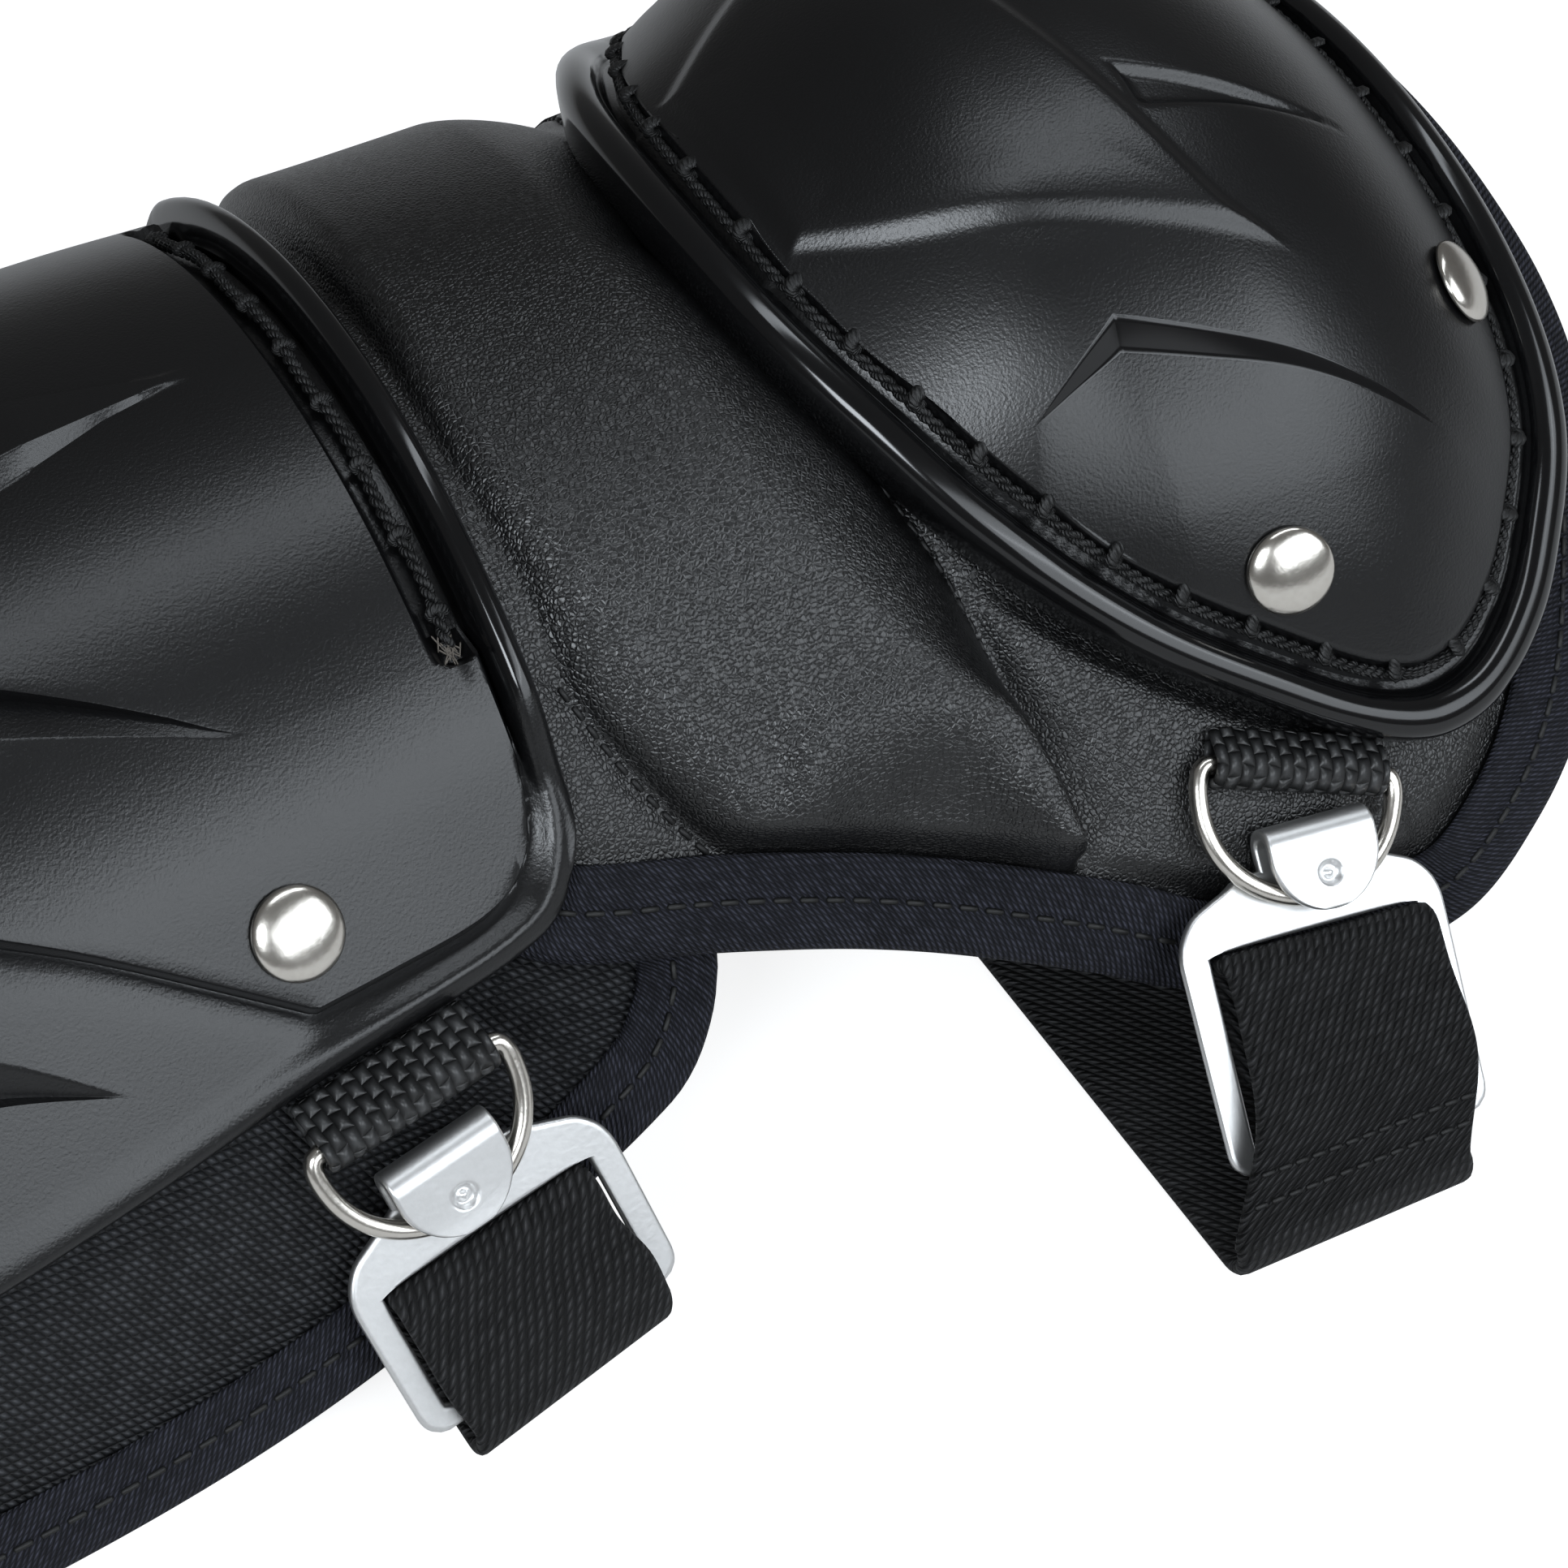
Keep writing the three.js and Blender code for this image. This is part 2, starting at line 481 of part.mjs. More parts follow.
const wasm = await Module();
wasm.setup();
function manifoldOf(geometry) {
  const bare = new THREE.BufferGeometry();
  bare.setAttribute('position', geometry.getAttribute('position').clone());
  if (geometry.index) bare.setIndex(geometry.index.clone());
  const welded = mergeVertices(bare, 1e-4);
  return new wasm.Manifold(new wasm.Mesh({
    numProp: 3,
    vertProperties: new Float32Array(welded.getAttribute('position').array),
    triVerts: new Uint32Array(welded.index.array),
  }));
}
function fromManifold(solid) {
  const mesh = solid.getMesh();
  const geometry = new THREE.BufferGeometry();
  geometry.setAttribute('position', new THREE.Float32BufferAttribute(mesh.vertProperties, 3));
  geometry.setIndex([...mesh.triVerts]);
  geometry.computeVertexNormals();
  return geometry;
}
// Flat strip between two edges, thick across its own normals
function strip(left, right, thick) {
  const stations = left.map((p, i) => {
    const r = right[i];
    return [
      p.at.clone().addScaledVector(p.normal, thick / 2), r.at.clone().addScaledVector(r.normal, thick / 2),
      r.at.clone().addScaledVector(r.normal, -thick / 2), p.at.clone().addScaledVector(p.normal, -thick / 2),
    ];
  });
  const keep = carried.outline;
  carried.outline = [[0, 1], [1, 1], [1, 0], [0, 0]].map(([x, y]) => new THREE.Vector2(x, y));
  const geometry = carried(stations, false);
  carried.outline = keep;
  return geometry;
}
// Points of a path with the normal on its left, in the plane of down and out
function withNormals(path) {
  return path.map((p, i) => {
    const a = path[Math.max(i - 1, 0)];
    const b = path[Math.min(i + 1, path.length - 1)];
    const t = [b[0] - a[0], b[1] - a[1]];
    const n = Math.hypot(t[0], t[1]);
    return { at: p, normal: [-t[1] / n, t[0] / n] };
  });
}
function arcPoints(cs, cn, radius, from, to, count) {
  return Array.from({ length: count + 1 }, (_, k) => {
    const turn = rad(from + ((to - from) * k) / count);
    return [cs + radius * Math.cos(turn), cn + radius * Math.sin(turn)];
  });
}

for (const clip of CLIPS) {
  const c = Math.cos(rad(clip.slope));
  const s = Math.sin(rad(clip.slope));
  const down = new THREE.Vector3(0, -c, -s);
  const out = new THREE.Vector3(0, -s, c);
  const seat = new THREE.Vector3(clip.x, clip.y, clip.z).addScaledVector(out, clip.lift);
  const frame = (turn) => {
    const t = rad(turn);
    const across = new THREE.Vector3(Math.cos(t), 0, 0).addScaledVector(down, Math.sin(t));
    const along = new THREE.Vector3(-Math.sin(t), 0, 0).addScaledVector(down, Math.cos(t));
    return (w, d, n) => seat.clone().addScaledVector(across, w).addScaledVector(along, d).addScaledVector(out, n);
  };
  const hookAt = frame(clip.turn);
  const ringAt = frame(clip.ringTurn);
  const lift = (at, path, half) => withNormals(path).map(({ at: p, normal }) => ({
    at: at(half, p[0], p[1]),
    normal: at(half, p[0] + normal[0], p[1] + normal[1]).sub(at(half, p[0], p[1])),
  }));

  // Webbing tab folded round the straight side of the ring
  const loop = RING_WIRE / 2 + 0.3 + WEB_THICK / 2;
  const tabTop = clip.tabLevel + WEB_THICK + 0.12;
  const meets = (n, sense) => 360 + (Math.atan2(n, -clip.tab) + sense * Math.acos(loop / Math.hypot(n, clip.tab)))
    * (180 / Math.PI);
  const tabPath = [
    [-clip.tab, clip.tabLevel], ...arcPoints(0, 0, loop, meets(clip.tabLevel, 1) - 360, meets(tabTop, -1), 8),
    [-clip.tab, tabTop],
  ];
  const half = WEB_WIDTH / 2;
  add(`webbing_${clip.name}`, strip(lift(ringAt, tabPath, -half), lift(ringAt, tabPath, half), WEB_THICK), elastic);

  // Ring: straight side, rounded corners and a half round bow
  const r = RING_WIDTH / 2 - RING_WIRE / 2;
  const deep = RING_DEPTH - RING_WIRE;
  const bow = Array.from({ length: 19 }, (_, k) => {
    const turn = (k / 18) * Math.PI;
    return [r * Math.cos(turn), 2.2 + (deep - 2.2) * Math.sin(turn) ** 0.92];
  });
  const ringPath = [...bow, [-r + 0.35, 0.7], [-r + 1.1, 0], [-r / 2.5, 0], [r / 2.5, 0], [r - 1.1, 0], [r - 0.35, 0.7]];
  add(`d_ring_${clip.name}`, carried(ringPath.map((p, i) => {
    const a = ringPath[(i + ringPath.length - 1) % ringPath.length];
    const b = ringPath[(i + 1) % ringPath.length];
    const t = new THREE.Vector2(b[0] - a[0], b[1] - a[1]).normalize();
    return Array.from({ length: 7 }, (_, k) => {
      const turn = (k / 7) * 2 * Math.PI;
      const side = (RING_WIRE / 2) * Math.cos(turn);
      return ringAt(p[0] + t.y * side, p[1] - t.x * side, (RING_WIRE / 2) * Math.sin(turn));
    });
  }), true), steel);

  // Hook: slotted plate with a tongue bent back over the bow of the ring
  const wide = HOOK_WIDTH / 2;
  const shape = new THREE.Shape();
  shape.moveTo(-wide, HOOK.end - 1);
  shape.lineTo(-wide, HOOK.top + 7);
  shape.quadraticCurveTo(-wide + 0.5, HOOK.top, -wide + 8, HOOK.top);
  shape.lineTo(wide - 8, HOOK.top);
  shape.quadraticCurveTo(wide - 0.5, HOOK.top, wide, HOOK.top + 7);
  shape.lineTo(wide, HOOK.end - 1);
  shape.lineTo(wide - 1, HOOK.end);
  shape.lineTo(-wide + 1, HOOK.end);
  const slotHalf = STRAP_WIDTH / 2 + 0.6;
  const slot = new THREE.Path();
  slot.moveTo(-slotHalf, HOOK.slot + 0.4);
  slot.lineTo(-slotHalf + 0.4, HOOK.slot);
  slot.lineTo(slotHalf - 0.4, HOOK.slot);
  slot.lineTo(slotHalf, HOOK.slot + 0.4);
  slot.lineTo(slotHalf, HOOK.bar);
  slot.lineTo(-slotHalf, HOOK.bar);
  shape.holes.push(slot);
  const plate = new THREE.ExtrudeGeometry(shape, { depth: HOOK_THICK, bevelEnabled: false, curveSegments: 6 });
  plate.translate(0, 0, PLATE_LEVEL - HOOK_THICK / 2);
  const tonguePath = [
    [HOOK.top + 2, PLATE_LEVEL], [HOOK.fold + 2.4, PLATE_LEVEL],
    ...arcPoints(HOOK.fold + 2.4, 0, -PLATE_LEVEL, 270, 90, 6), [HOOK.lip - 5, 2], [HOOK.lip - 2.2, 1.9], [HOOK.lip, 1.9],
  ];
  const flat = withNormals(tonguePath);
  const taper = (i) => (i === flat.length - 1 ? 3.6 : i === flat.length - 2 ? 6.2 : TONGUE_WIDTH / 2);
  const edge = (sign) => flat.map(({ at: p, normal }, i) => ({
    at: new THREE.Vector3(sign * taper(i), p[0], p[1]),
    normal: new THREE.Vector3(0, normal[0], normal[1]),
  }));
  const tongue = strip(edge(-1), edge(1), HOOK_THICK);
  const whole = fromManifold(manifoldOf(plate).add(manifoldOf(tongue)));
  const spots = whole.getAttribute('position');
  const corners = Array.from({ length: spots.count }, (_, k) => hookAt(spots.getX(k), spots.getY(k), spots.getZ(k)));
  const faces = Array.from({ length: whole.index.count / 3 }, (_, k) => (
    [0, 1, 2].map((n) => whole.index.getX(3 * k + n))));
  add(`hook_${clip.name}`, geometryOf(corners, faces), steel);

  // Strap: sewn end, through the slot, down to a fold on the floor, under the leg, up the far side
  const top = PLATE_LEVEL + HOOK_THICK / 2 + 0.3 + STRAP_THICK / 2;
  const under = PLATE_LEVEL - HOOK_THICK / 2 - 0.3 - STRAP_THICK / 2;
  const reach = (top - under) / 2;
  const met = top - STRAP_THICK - 0.3;
  const sewnEnd = clip.sewn > HOOK.end
    ? [[clip.sewn, met], [HOOK.end + 3.4, met], [HOOK.end + 0.9, under], [HOOK.bar - 2.5, under]]
    : [[clip.sewn, under]];
  const nearPath = [
    ...sewnEnd, [HOOK.slot + 7, under],
    ...arcPoints(HOOK.slot + 0.35 + reach + STRAP_THICK / 2, PLATE_LEVEL, reach, 270, 90, 6),
    [HOOK.slot + 8, top + 0.35], [HOOK.bar - 4, top + 0.2],
  ];
  const foldZ = FLOOR_MID + FOLD_RADIUS;
  const foldStart = (seat.z + top * c - foldZ - FOLD_RADIUS * c) / s;
  const foldY = seat.y - c * foldStart - top * s;
  const foldX = seat.x - foldStart * Math.tan(rad(clip.turn));
  const strapEdge = (side) => {
    const w = (side * STRAP_WIDTH) / 2;
    const near = lift(hookAt, nearPath, w);
    const x = foldX + w;
    const yz = [];
    const centreY = foldY + FOLD_RADIUS * s;
    for (let k = 0; k <= 7; k += 1) {
      const angle = Math.atan2(c, -s) + ((1.5 * Math.PI - Math.atan2(c, -s)) * k) / 7;
      yz.push([centreY + FOLD_RADIUS * Math.cos(angle), foldZ + FOLD_RADIUS * Math.sin(angle)]);
    }
    const rows = clip.name === 'knee' ? KNEE_PAD_EDGE : SHIN_PAD_EDGE;
    const brim = smooth(rows, 1, x) + 3;
    const hang = place(x, brim, FAR_SEAT[0][1]);
    const low = rad(BEND_SLOPE);
    const bend = 5;
    const bendZ = FLOOR_MID + bend;
    const startZ = bendZ + bend * Math.cos(low);
    const startY = hang.y + (hang.z - startZ) / Math.tan(low);
    const bendY = startY - bend * Math.sin(low);
    const nearY = centreY;
    for (let k = 1; k <= 6; k += 1) yz.push([nearY + ((bendY - nearY) * k) / 6, FLOOR_MID]);
    for (let k = 1; k <= 6; k += 1) {
      const angle = -Math.PI / 2 + ((Math.PI - low) * k) / 6;
      yz.push([bendY + bend * Math.cos(angle), bendZ + bend * Math.sin(angle)]);
    }
    for (const [inside, height] of FAR_SEAT) {
      const share = inside > 14 ? (inside - 14) / 6 : 0;
      const edge = brim - 3 - Math.min(inside, 14);
      const p = place(x, edge + (clip.farEnd - edge) * share, height);
      yz.push([p.y, p.z]);
    }
    const run = withNormals(yz).map(({ at: p, normal }) => ({
      at: new THREE.Vector3(x, p[0], p[1]), normal: new THREE.Vector3(0, -normal[0], -normal[1]),
    }));
    return [...near, ...run];
  };
  add(`strap_${clip.name}`, strip(strapEdge(-1), strapEdge(1), STRAP_THICK), elastic);
}

// Origin under the middle of the whole guard
const box = new THREE.Box3().setFromObject(group);
const shift = box.getCenter(new THREE.Vector3()).setZ(box.min.z).negate();
group.children.forEach((mesh) => mesh.geometry.translate(shift.x, shift.y, shift.z));

export default group;
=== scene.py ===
# %% [markdown]
# A catcher's leg guard lies on its back on a pale floor. It has two moulded plates, two pads,
# folded tape round the pads, and two elastic straps with sheet metal hooks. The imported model
# gives the solids and their places. This script keeps those places and dresses every solid with
# a finer surface. All lengths below are in millimetres along the leg and round it, and only the
# last step of each shape turns them into metres.

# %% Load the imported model
import json
import math
import bpy
import numpy as np
from mathutils import Matrix
from mathutils import Vector

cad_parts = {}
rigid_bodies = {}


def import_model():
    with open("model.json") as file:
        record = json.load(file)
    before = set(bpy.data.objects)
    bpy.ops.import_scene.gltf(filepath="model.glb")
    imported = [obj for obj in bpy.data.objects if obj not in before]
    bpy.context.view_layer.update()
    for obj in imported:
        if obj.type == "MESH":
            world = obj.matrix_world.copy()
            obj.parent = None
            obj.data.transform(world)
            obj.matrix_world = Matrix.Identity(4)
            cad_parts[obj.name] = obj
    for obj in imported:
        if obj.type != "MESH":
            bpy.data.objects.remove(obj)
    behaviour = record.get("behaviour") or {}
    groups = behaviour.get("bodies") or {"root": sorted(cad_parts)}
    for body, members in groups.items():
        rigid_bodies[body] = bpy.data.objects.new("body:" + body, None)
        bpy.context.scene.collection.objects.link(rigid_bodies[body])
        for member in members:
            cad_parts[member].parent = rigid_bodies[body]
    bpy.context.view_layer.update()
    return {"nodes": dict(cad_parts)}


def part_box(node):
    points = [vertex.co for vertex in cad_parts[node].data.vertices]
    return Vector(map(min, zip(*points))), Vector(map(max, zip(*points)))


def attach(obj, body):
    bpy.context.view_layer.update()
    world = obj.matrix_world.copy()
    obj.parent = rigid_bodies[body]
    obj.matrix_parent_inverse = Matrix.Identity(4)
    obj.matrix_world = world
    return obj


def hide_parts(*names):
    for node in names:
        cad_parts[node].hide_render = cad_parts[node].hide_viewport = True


for stray in list(bpy.data.objects):
    bpy.data.objects.remove(stray)
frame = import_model()
plate_low, plate_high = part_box("shin_plate")
SHIFT = np.array([plate_high.x * 1000, (plate_low.y + plate_high.y) * 500, -0.02])
print("nodes", len(frame["nodes"]), "shift of the pattern in mm", SHIFT.round(2))

# %% [markdown]
# The camera comes from the photograph: straight lines and known widths were matched until the
# guard's outline fell in place. The three directions below are the picture's right, its up and
# the way back to the lens. They fill a rotation matrix as columns. The focal length and half the
# picture's width are in the photograph's own pixels.

# %% Camera
CAMERA_AT = np.array([-165.9, -392.6, 462.6])
HALF_PICTURE = 966
FOCAL = 5823.8
camera = bpy.data.objects.new("camera", bpy.data.cameras.new("camera"))
bpy.context.scene.collection.objects.link(camera)
turn, rise = math.radians(-30), math.radians(47)
right = Vector((math.cos(turn), math.sin(turn), 0))
back = Vector((math.sin(turn) * math.cos(rise), -math.cos(turn) * math.cos(rise), math.sin(rise)))
above = back.cross(right)
spot = Vector((CAMERA_AT + SHIFT) * 0.001)
camera.matrix_world = Matrix((right, above, back)).transposed().to_4x4()
camera.location = spot
camera.data.sensor_fit = "HORIZONTAL"
camera.data.angle = 2 * math.atan(HALF_PICTURE / FOCAL)
camera.data.clip_start = 0.02
bpy.context.scene.camera = camera
print("camera at", [round(v, 3) for v in spot], "angle", round(math.degrees(camera.data.angle), 2))

# %% [markdown]
# Finishes come before shapes, so that each piece can be dressed as it is made. A finish needs a
# lot of small arithmetic on coordinates. Math nodes do that, and the little class below lets us
# write the arithmetic as a formula while it places one Math node for each sign.

# %% Arithmetic on links
class Wire:
    """A number on its way between nodes: arithmetic on it adds Math nodes to the tree."""

    def __init__(self, tree, socket):
        self.tree = tree
        self.socket = socket

    def math(self, operation, *others):
        """One Math node with this number first and the others after it."""
        made = self.tree.nodes.new("ShaderNodeMath")
        made.operation = operation
        for entry, value in zip(made.inputs, (self,) + others):
            if isinstance(value, Wire):
                self.tree.links.new(value.socket, entry)
            else:
                entry.default_value = value
        return Wire(self.tree, made.outputs[0])

    def __add__(self, other):
        return self.math("ADD", other)

    def __sub__(self, other):
        return self.math("SUBTRACT", other)

    def __mul__(self, other):
        return self.math("MULTIPLY", other)

    def __truediv__(self, other):
        return self.math("DIVIDE", other)

    def hump(self, power):
        """Sine of half a turn raised to a power: a rounded thread seen across."""
        return (self.math("FRACT") * math.pi).math("SINE").math("MAXIMUM", 0).math("POWER", power)

    def spread(self, low, high):
        """Runs from low at 0 to high at 1."""
        return self.math("MULTIPLY_ADD", high - low, low)


def add_node(tree, kind, inputs=None, **settings):
    """One shader node with its settings; inputs are plain values or links to other nodes."""
    made = tree.nodes.new("ShaderNode" + kind)
    for key, value in settings.items():
        setattr(made, key, value)
    for key, value in (inputs or {}).items():
        if isinstance(value, Wire):
            tree.links.new(value.socket, made.inputs[key])
        elif isinstance(value, bpy.types.NodeSocket):
            tree.links.new(value, made.inputs[key])
        else:
            made.inputs[key].default_value = value
    return made


def effect(name, numbers, build):
    """A node group with a Place vector and named numbers in, and a Height and a Tone out."""
    group = bpy.data.node_groups.new(name, "ShaderNodeTree")
    group.interface.new_socket("Place", in_out="INPUT", socket_type="NodeSocketVector")
    for label, start in numbers.items():
        entry = group.interface.new_socket(label, in_out="INPUT", socket_type="NodeSocketFloat")
        entry.default_value = start
    for label in ("Height", "Tone"):
        group.interface.new_socket(label, in_out="OUTPUT", socket_type="NodeSocketFloat")
    entry = group.nodes.new("NodeGroupInput")
    leave = group.nodes.new("NodeGroupOutput")
    height, tone = build(group, entry.outputs)
    group.links.new(height.socket, leave.inputs["Height"])
    group.links.new(tone.socket, leave.inputs["Tone"])
    return group


def noise(tree, place, scale, detail=2.0):
    """Cloudy noise between 0 and 1."""
    made = add_node(tree, "TexNoise", {"Vector": place, "Scale": scale, "Detail": detail})
    return Wire(tree, made.outputs[0])


def parts(tree, place):
    """The first two coordinates of a place."""
    split = add_node(tree, "SeparateXYZ", {0: place})
    return Wire(tree, split.outputs[0]), Wire(tree, split.outputs[1])


def chance(tree, first, second):
    """A fixed random number for every pair of whole numbers."""
    pair = add_node(tree, "CombineXYZ", {0: first, 1: second})
    made = add_node(tree, "TexWhiteNoise", {"Vector": pair.outputs[0]}, noise_dimensions="2D")
    return Wire(tree, made.outputs[0])


print("node helpers ready")

# %% [markdown]
# Five grounds repeat on the guard: the fine spark erosion grain of moulded plastic, the pebbles
# of leather, slanted ribs of twill, the slanted floats of webbing, and the loops of a mesh knit.
# Each is a node group that gives a height for a bump and a tone for small colour changes. The
# finish also darkens the colour in the low parts of the height, as painted shade in the hollows.
# The woven ones read the piece's own pattern coordinates in millimetres, so that threads follow
# the cloth round every fold.

# %% Grounds
def grain_ground(tree, ends):
    """Two sizes of cloudy noise, the finer one stronger."""
    often = Wire(tree, ends["Size"]).math("POWER", -1.0)
    fine = noise(tree, ends["Place"], often)
    broad = noise(tree, ends["Place"], often * 0.3)
    return fine * 0.85 + broad * 0.15, noise(tree, ends["Place"], 55.0, 3.0)


def pebble_ground(tree, ends):
    """Flat topped Voronoi cells with narrow creases between them, uneven in height."""
    often = Wire(tree, ends["Size"]).math("POWER", -1.0)
    stir = add_node(tree, "TexNoise", {"Vector": ends["Place"], "Scale": 900.0, "Detail": 1.0})
    shift = add_node(tree, "VectorMath", {0: stir.outputs["Color"], 1: (0.0004, 0.0004, 0.0004)},
                     operation="MULTIPLY")
    moved = add_node(tree, "VectorMath", {0: ends["Place"], 1: shift.outputs[0]}, operation="ADD")
    cells = add_node(tree, "TexVoronoi", {"Vector": moved.outputs[0], "Scale": often},
                     feature="DISTANCE_TO_EDGE")
    top = (Wire(tree, cells.outputs["Distance"]) * 3.2).math("MINIMUM", 1.0).math("POWER", 0.7)
    broad = noise(tree, ends["Place"], 150.0, 3.0)
    fine = noise(tree, ends["Place"], 2400.0)
    return top * broad.spread(0.85, 1.1) + fine * 0.2, broad


def twill_ground(tree, ends):
    """Slanted ribs; each rib is a twisted yarn, so it is cut into short slanted strands."""
    u, v = parts(tree, ends["Place"])
    pitch, lean, strand = (Wire(tree, ends[k]) for k in ("Pitch", "Lean", "Strand"))
    rib = (u + v * lean) / pitch
    count = rib.math("FLOOR")
    cut = v / strand + rib * 0.45 + count * 0.5
    height = rib.hump(1.3) * cut.hump(0.9).spread(0.3, 1.0)
    return height, chance(tree, count, cut.math("FLOOR"))


def float_ground(tree, ends):
    """Columns of plump floats, every other column set off by half a float and leaning back."""
    u, v = parts(tree, ends["Place"])
    pitch, strand = (Wire(tree, ends[k]) for k in ("Pitch", "Strand"))
    column = u / pitch
    count = column.math("FLOOR")
    side = (count * 0.5).math("FRACT") * 4.0 - 1.0
    cut = v / strand + (column.math("FRACT") - 0.5) * side * 0.12 + count * 0.5
    height = column.hump(0.75) * cut.hump(0.6)
    return height, chance(tree, count, cut.math("FLOOR"))


def knit_ground(tree, ends):
    """Rows of small slanted loops, every other row set off by half a loop."""
    u, v = parts(tree, ends["Place"])
    pitch, strand = (Wire(tree, ends[k]) for k in ("Pitch", "Strand"))
    row = v / pitch
    count = row.math("FLOOR")
    loop = u / strand + (count * 0.5).math("FRACT") + row.math("FRACT") * 0.5
    height = row.hump(0.7) * loop.hump(0.9)
    return height, chance(tree, count, loop.math("FLOOR"))


GRAIN = effect("moulded_grain", {"Size": 0.0004}, grain_ground)
PEBBLE = effect("hide_pebble", {"Size": 0.001}, pebble_ground)
TWILL = effect("twill_rib", {"Pitch": 1.1, "Lean": 0.8, "Strand": 0.9}, twill_ground)
FLOATS = effect("webbing_float", {"Pitch": 2.0, "Strand": 1.7}, float_ground)
KNIT = effect("mesh_knit", {"Pitch": 0.9, "Strand": 0.9}, knit_ground)
print("grounds", len(bpy.data.node_groups))

# %% [markdown]
# A finish is a Principled shader. What is the same all over is set on the shader's own sockets,
# and what changes over the surface arrives by links: the colour between a dark and a light
# shade, the roughness between two values, and a bump whose depth is given in metres. The colour
# follows the bump's height too, as painted shade: dark in the hollows and light on the tops.

# %% Finish maker
def finish(name, dark, light, rough, depth, ground, numbers, plain):
    """A Principled material over one ground, which lies by the pattern if it is woven."""
    material = bpy.data.materials.new(name)
    material.use_nodes = True
    tree = material.node_tree
    shader = tree.nodes["Principled BSDF"]
    for key, value in plain.items():
        shader.inputs[key].default_value = value
    source = add_node(tree, "TexCoord").outputs["UV" if "Pitch" in numbers else "Object"]
    body = tree.nodes.new("ShaderNodeGroup")
    body.node_tree = ground
    tree.links.new(source, body.inputs["Place"])
    for key, value in numbers.items():
        body.inputs[key].default_value = value
    height = Wire(tree, body.outputs["Height"])
    tone = Wire(tree, body.outputs["Tone"])
    object_place = add_node(tree, "TexCoord").outputs["Object"]
    wear = noise(tree, object_place, 38.0, 4.0)
    # painted shade: the colour follows the bump's height, dark in the hollows between threads, pebbles and
    # grains and light on their raised tops; random tone and wear noise vary it further
    shade = height * tone.spread(0.4, 1.1) * 0.85 + wear * 0.15
    mix = add_node(tree, "Mix", {0: shade, 6: (*dark, 1), 7: (*light, 1)}, data_type="RGBA")
    tree.links.new(mix.outputs[2], shader.inputs["Base Color"])
    rub = (wear * 0.6 + tone * 0.4).spread(*rough)
    tree.links.new(rub.socket, shader.inputs["Roughness"])
    bump = add_node(tree, "Bump", {"Height": height, "Distance": depth, "Strength": 1.0})
    tree.links.new(bump.outputs[0], shader.inputs["Normal"])
    return {"material": material, "tree": tree, "shader": shader, "bump": bump, "rough": rub,
            "height": height}


SHINE = "Specular IOR Level"
FINISHES = {
    # name, dark shade, light shade, roughness, depth of bump, ground and its numbers, plain values
    "hide": ("pebble_leather", (0.0008, 0.0008, 0.0009), (0.0042, 0.0042, 0.0044), (0.3, 0.39),
             0.00007, PEBBLE, {"Size": 0.00062}, {SHINE: 0.6}),
    "knit": ("mesh_knit_cloth", (0.0003, 0.0003, 0.0004), (0.047, 0.049, 0.054), (0.45, 0.65),
             0.0007, KNIT, {"Pitch": 1.1, "Strand": 1.15}, {SHINE: 0.3}),
    "tape": ("binding_tape", (0.0002, 0.0002, 0.0004), (0.049, 0.051, 0.07), (0.6, 0.8),
             0.0005, TWILL, {"Pitch": 0.8, "Lean": 0.7, "Strand": 0.85}, {SHINE: 0.2}),
    "webbing": ("webbing_cloth", (0.0005, 0.0005, 0.0005), (0.046, 0.047, 0.048), (0.36, 0.5),
                0.0009, FLOATS, {"Pitch": 1.75, "Strand": 2.5}, {}),
    "elastic": ("elastic_cloth", (0.0002, 0.0002, 0.0002), (0.04, 0.04, 0.0415), (0.55, 0.75),
                0.0009, TWILL, {"Pitch": 1.38, "Lean": 0.62, "Strand": 1.15}, {SHINE: 0.25}),
    "thread": ("waxed_thread", (0.0006, 0.0006, 0.0006), (0.0034, 0.0034, 0.0036), (0.45, 0.65),
               0.00015, TWILL, {"Pitch": 0.5, "Lean": 0.5, "Strand": 1.2}, {}),
    "frayed": ("frayed_end", (0.06, 0.052, 0.045), (0.17, 0.15, 0.125), (0.7, 0.9),
               0.00001, GRAIN, {"Size": 0.0003}, {}),
    "shell": ("satin_shell", (0.0026, 0.0026, 0.0028), (0.0048, 0.0048, 0.0053), (0.27, 0.33),
              0.00005, GRAIN, {"Size": 0.0004}, {}),
    "nickel": ("bright_nickel", (0.6, 0.56, 0.5), (0.84, 0.81, 0.76), (0.17, 0.3),
               0.00002, GRAIN, {"Size": 0.0009}, {"Metallic": 1.0}),
    "pressed": ("pressed_nickel", (0.66, 0.66, 0.655), (0.82, 0.82, 0.815), (0.34, 0.46),
                0.00002, GRAIN, {"Size": 0.0007}, {"Metallic": 1.0}),
}
FINISH = {slot: finish(*row) for slot, row in FINISHES.items()}
print("finishes", sorted(FINISH))

# %% [markdown]
# The moulded shell is satin over most of its face and polished on the beads and bevels. One
# material does both: a number stored at each vertex, called gloss, turns the roughness and the
# grain down where the mould was polished. A link put into a socket takes the old link's place.

# %% Polished parts of the shell
POLISH = 0.14
shell = FINISH["shell"]
tree = shell["tree"]
gloss = Wire(tree, add_node(tree, "Attribute", attribute_name="gloss").outputs["Fac"])
polished = add_node(tree, "Mix", {0: gloss, 2: shell["rough"], 3: POLISH}, data_type="FLOAT")
tree.links.new(polished.outputs[0], shell["shader"].inputs["Roughness"])
flat = shell["height"] * (gloss * -1.0 + 1.0)
tree.links.new(flat.socket, shell["bump"].inputs["Height"])
print("materials", len(bpy.data.materials))

# %% [markdown]
# Every shape below is a grid of points worked out as whole arrays. Three helpers turn grids into
# meshes: one lists the four corners of every cell, one closes a sheet from an outer and an inner
# grid that share their border, and one closes a band from a profile carried along a path.

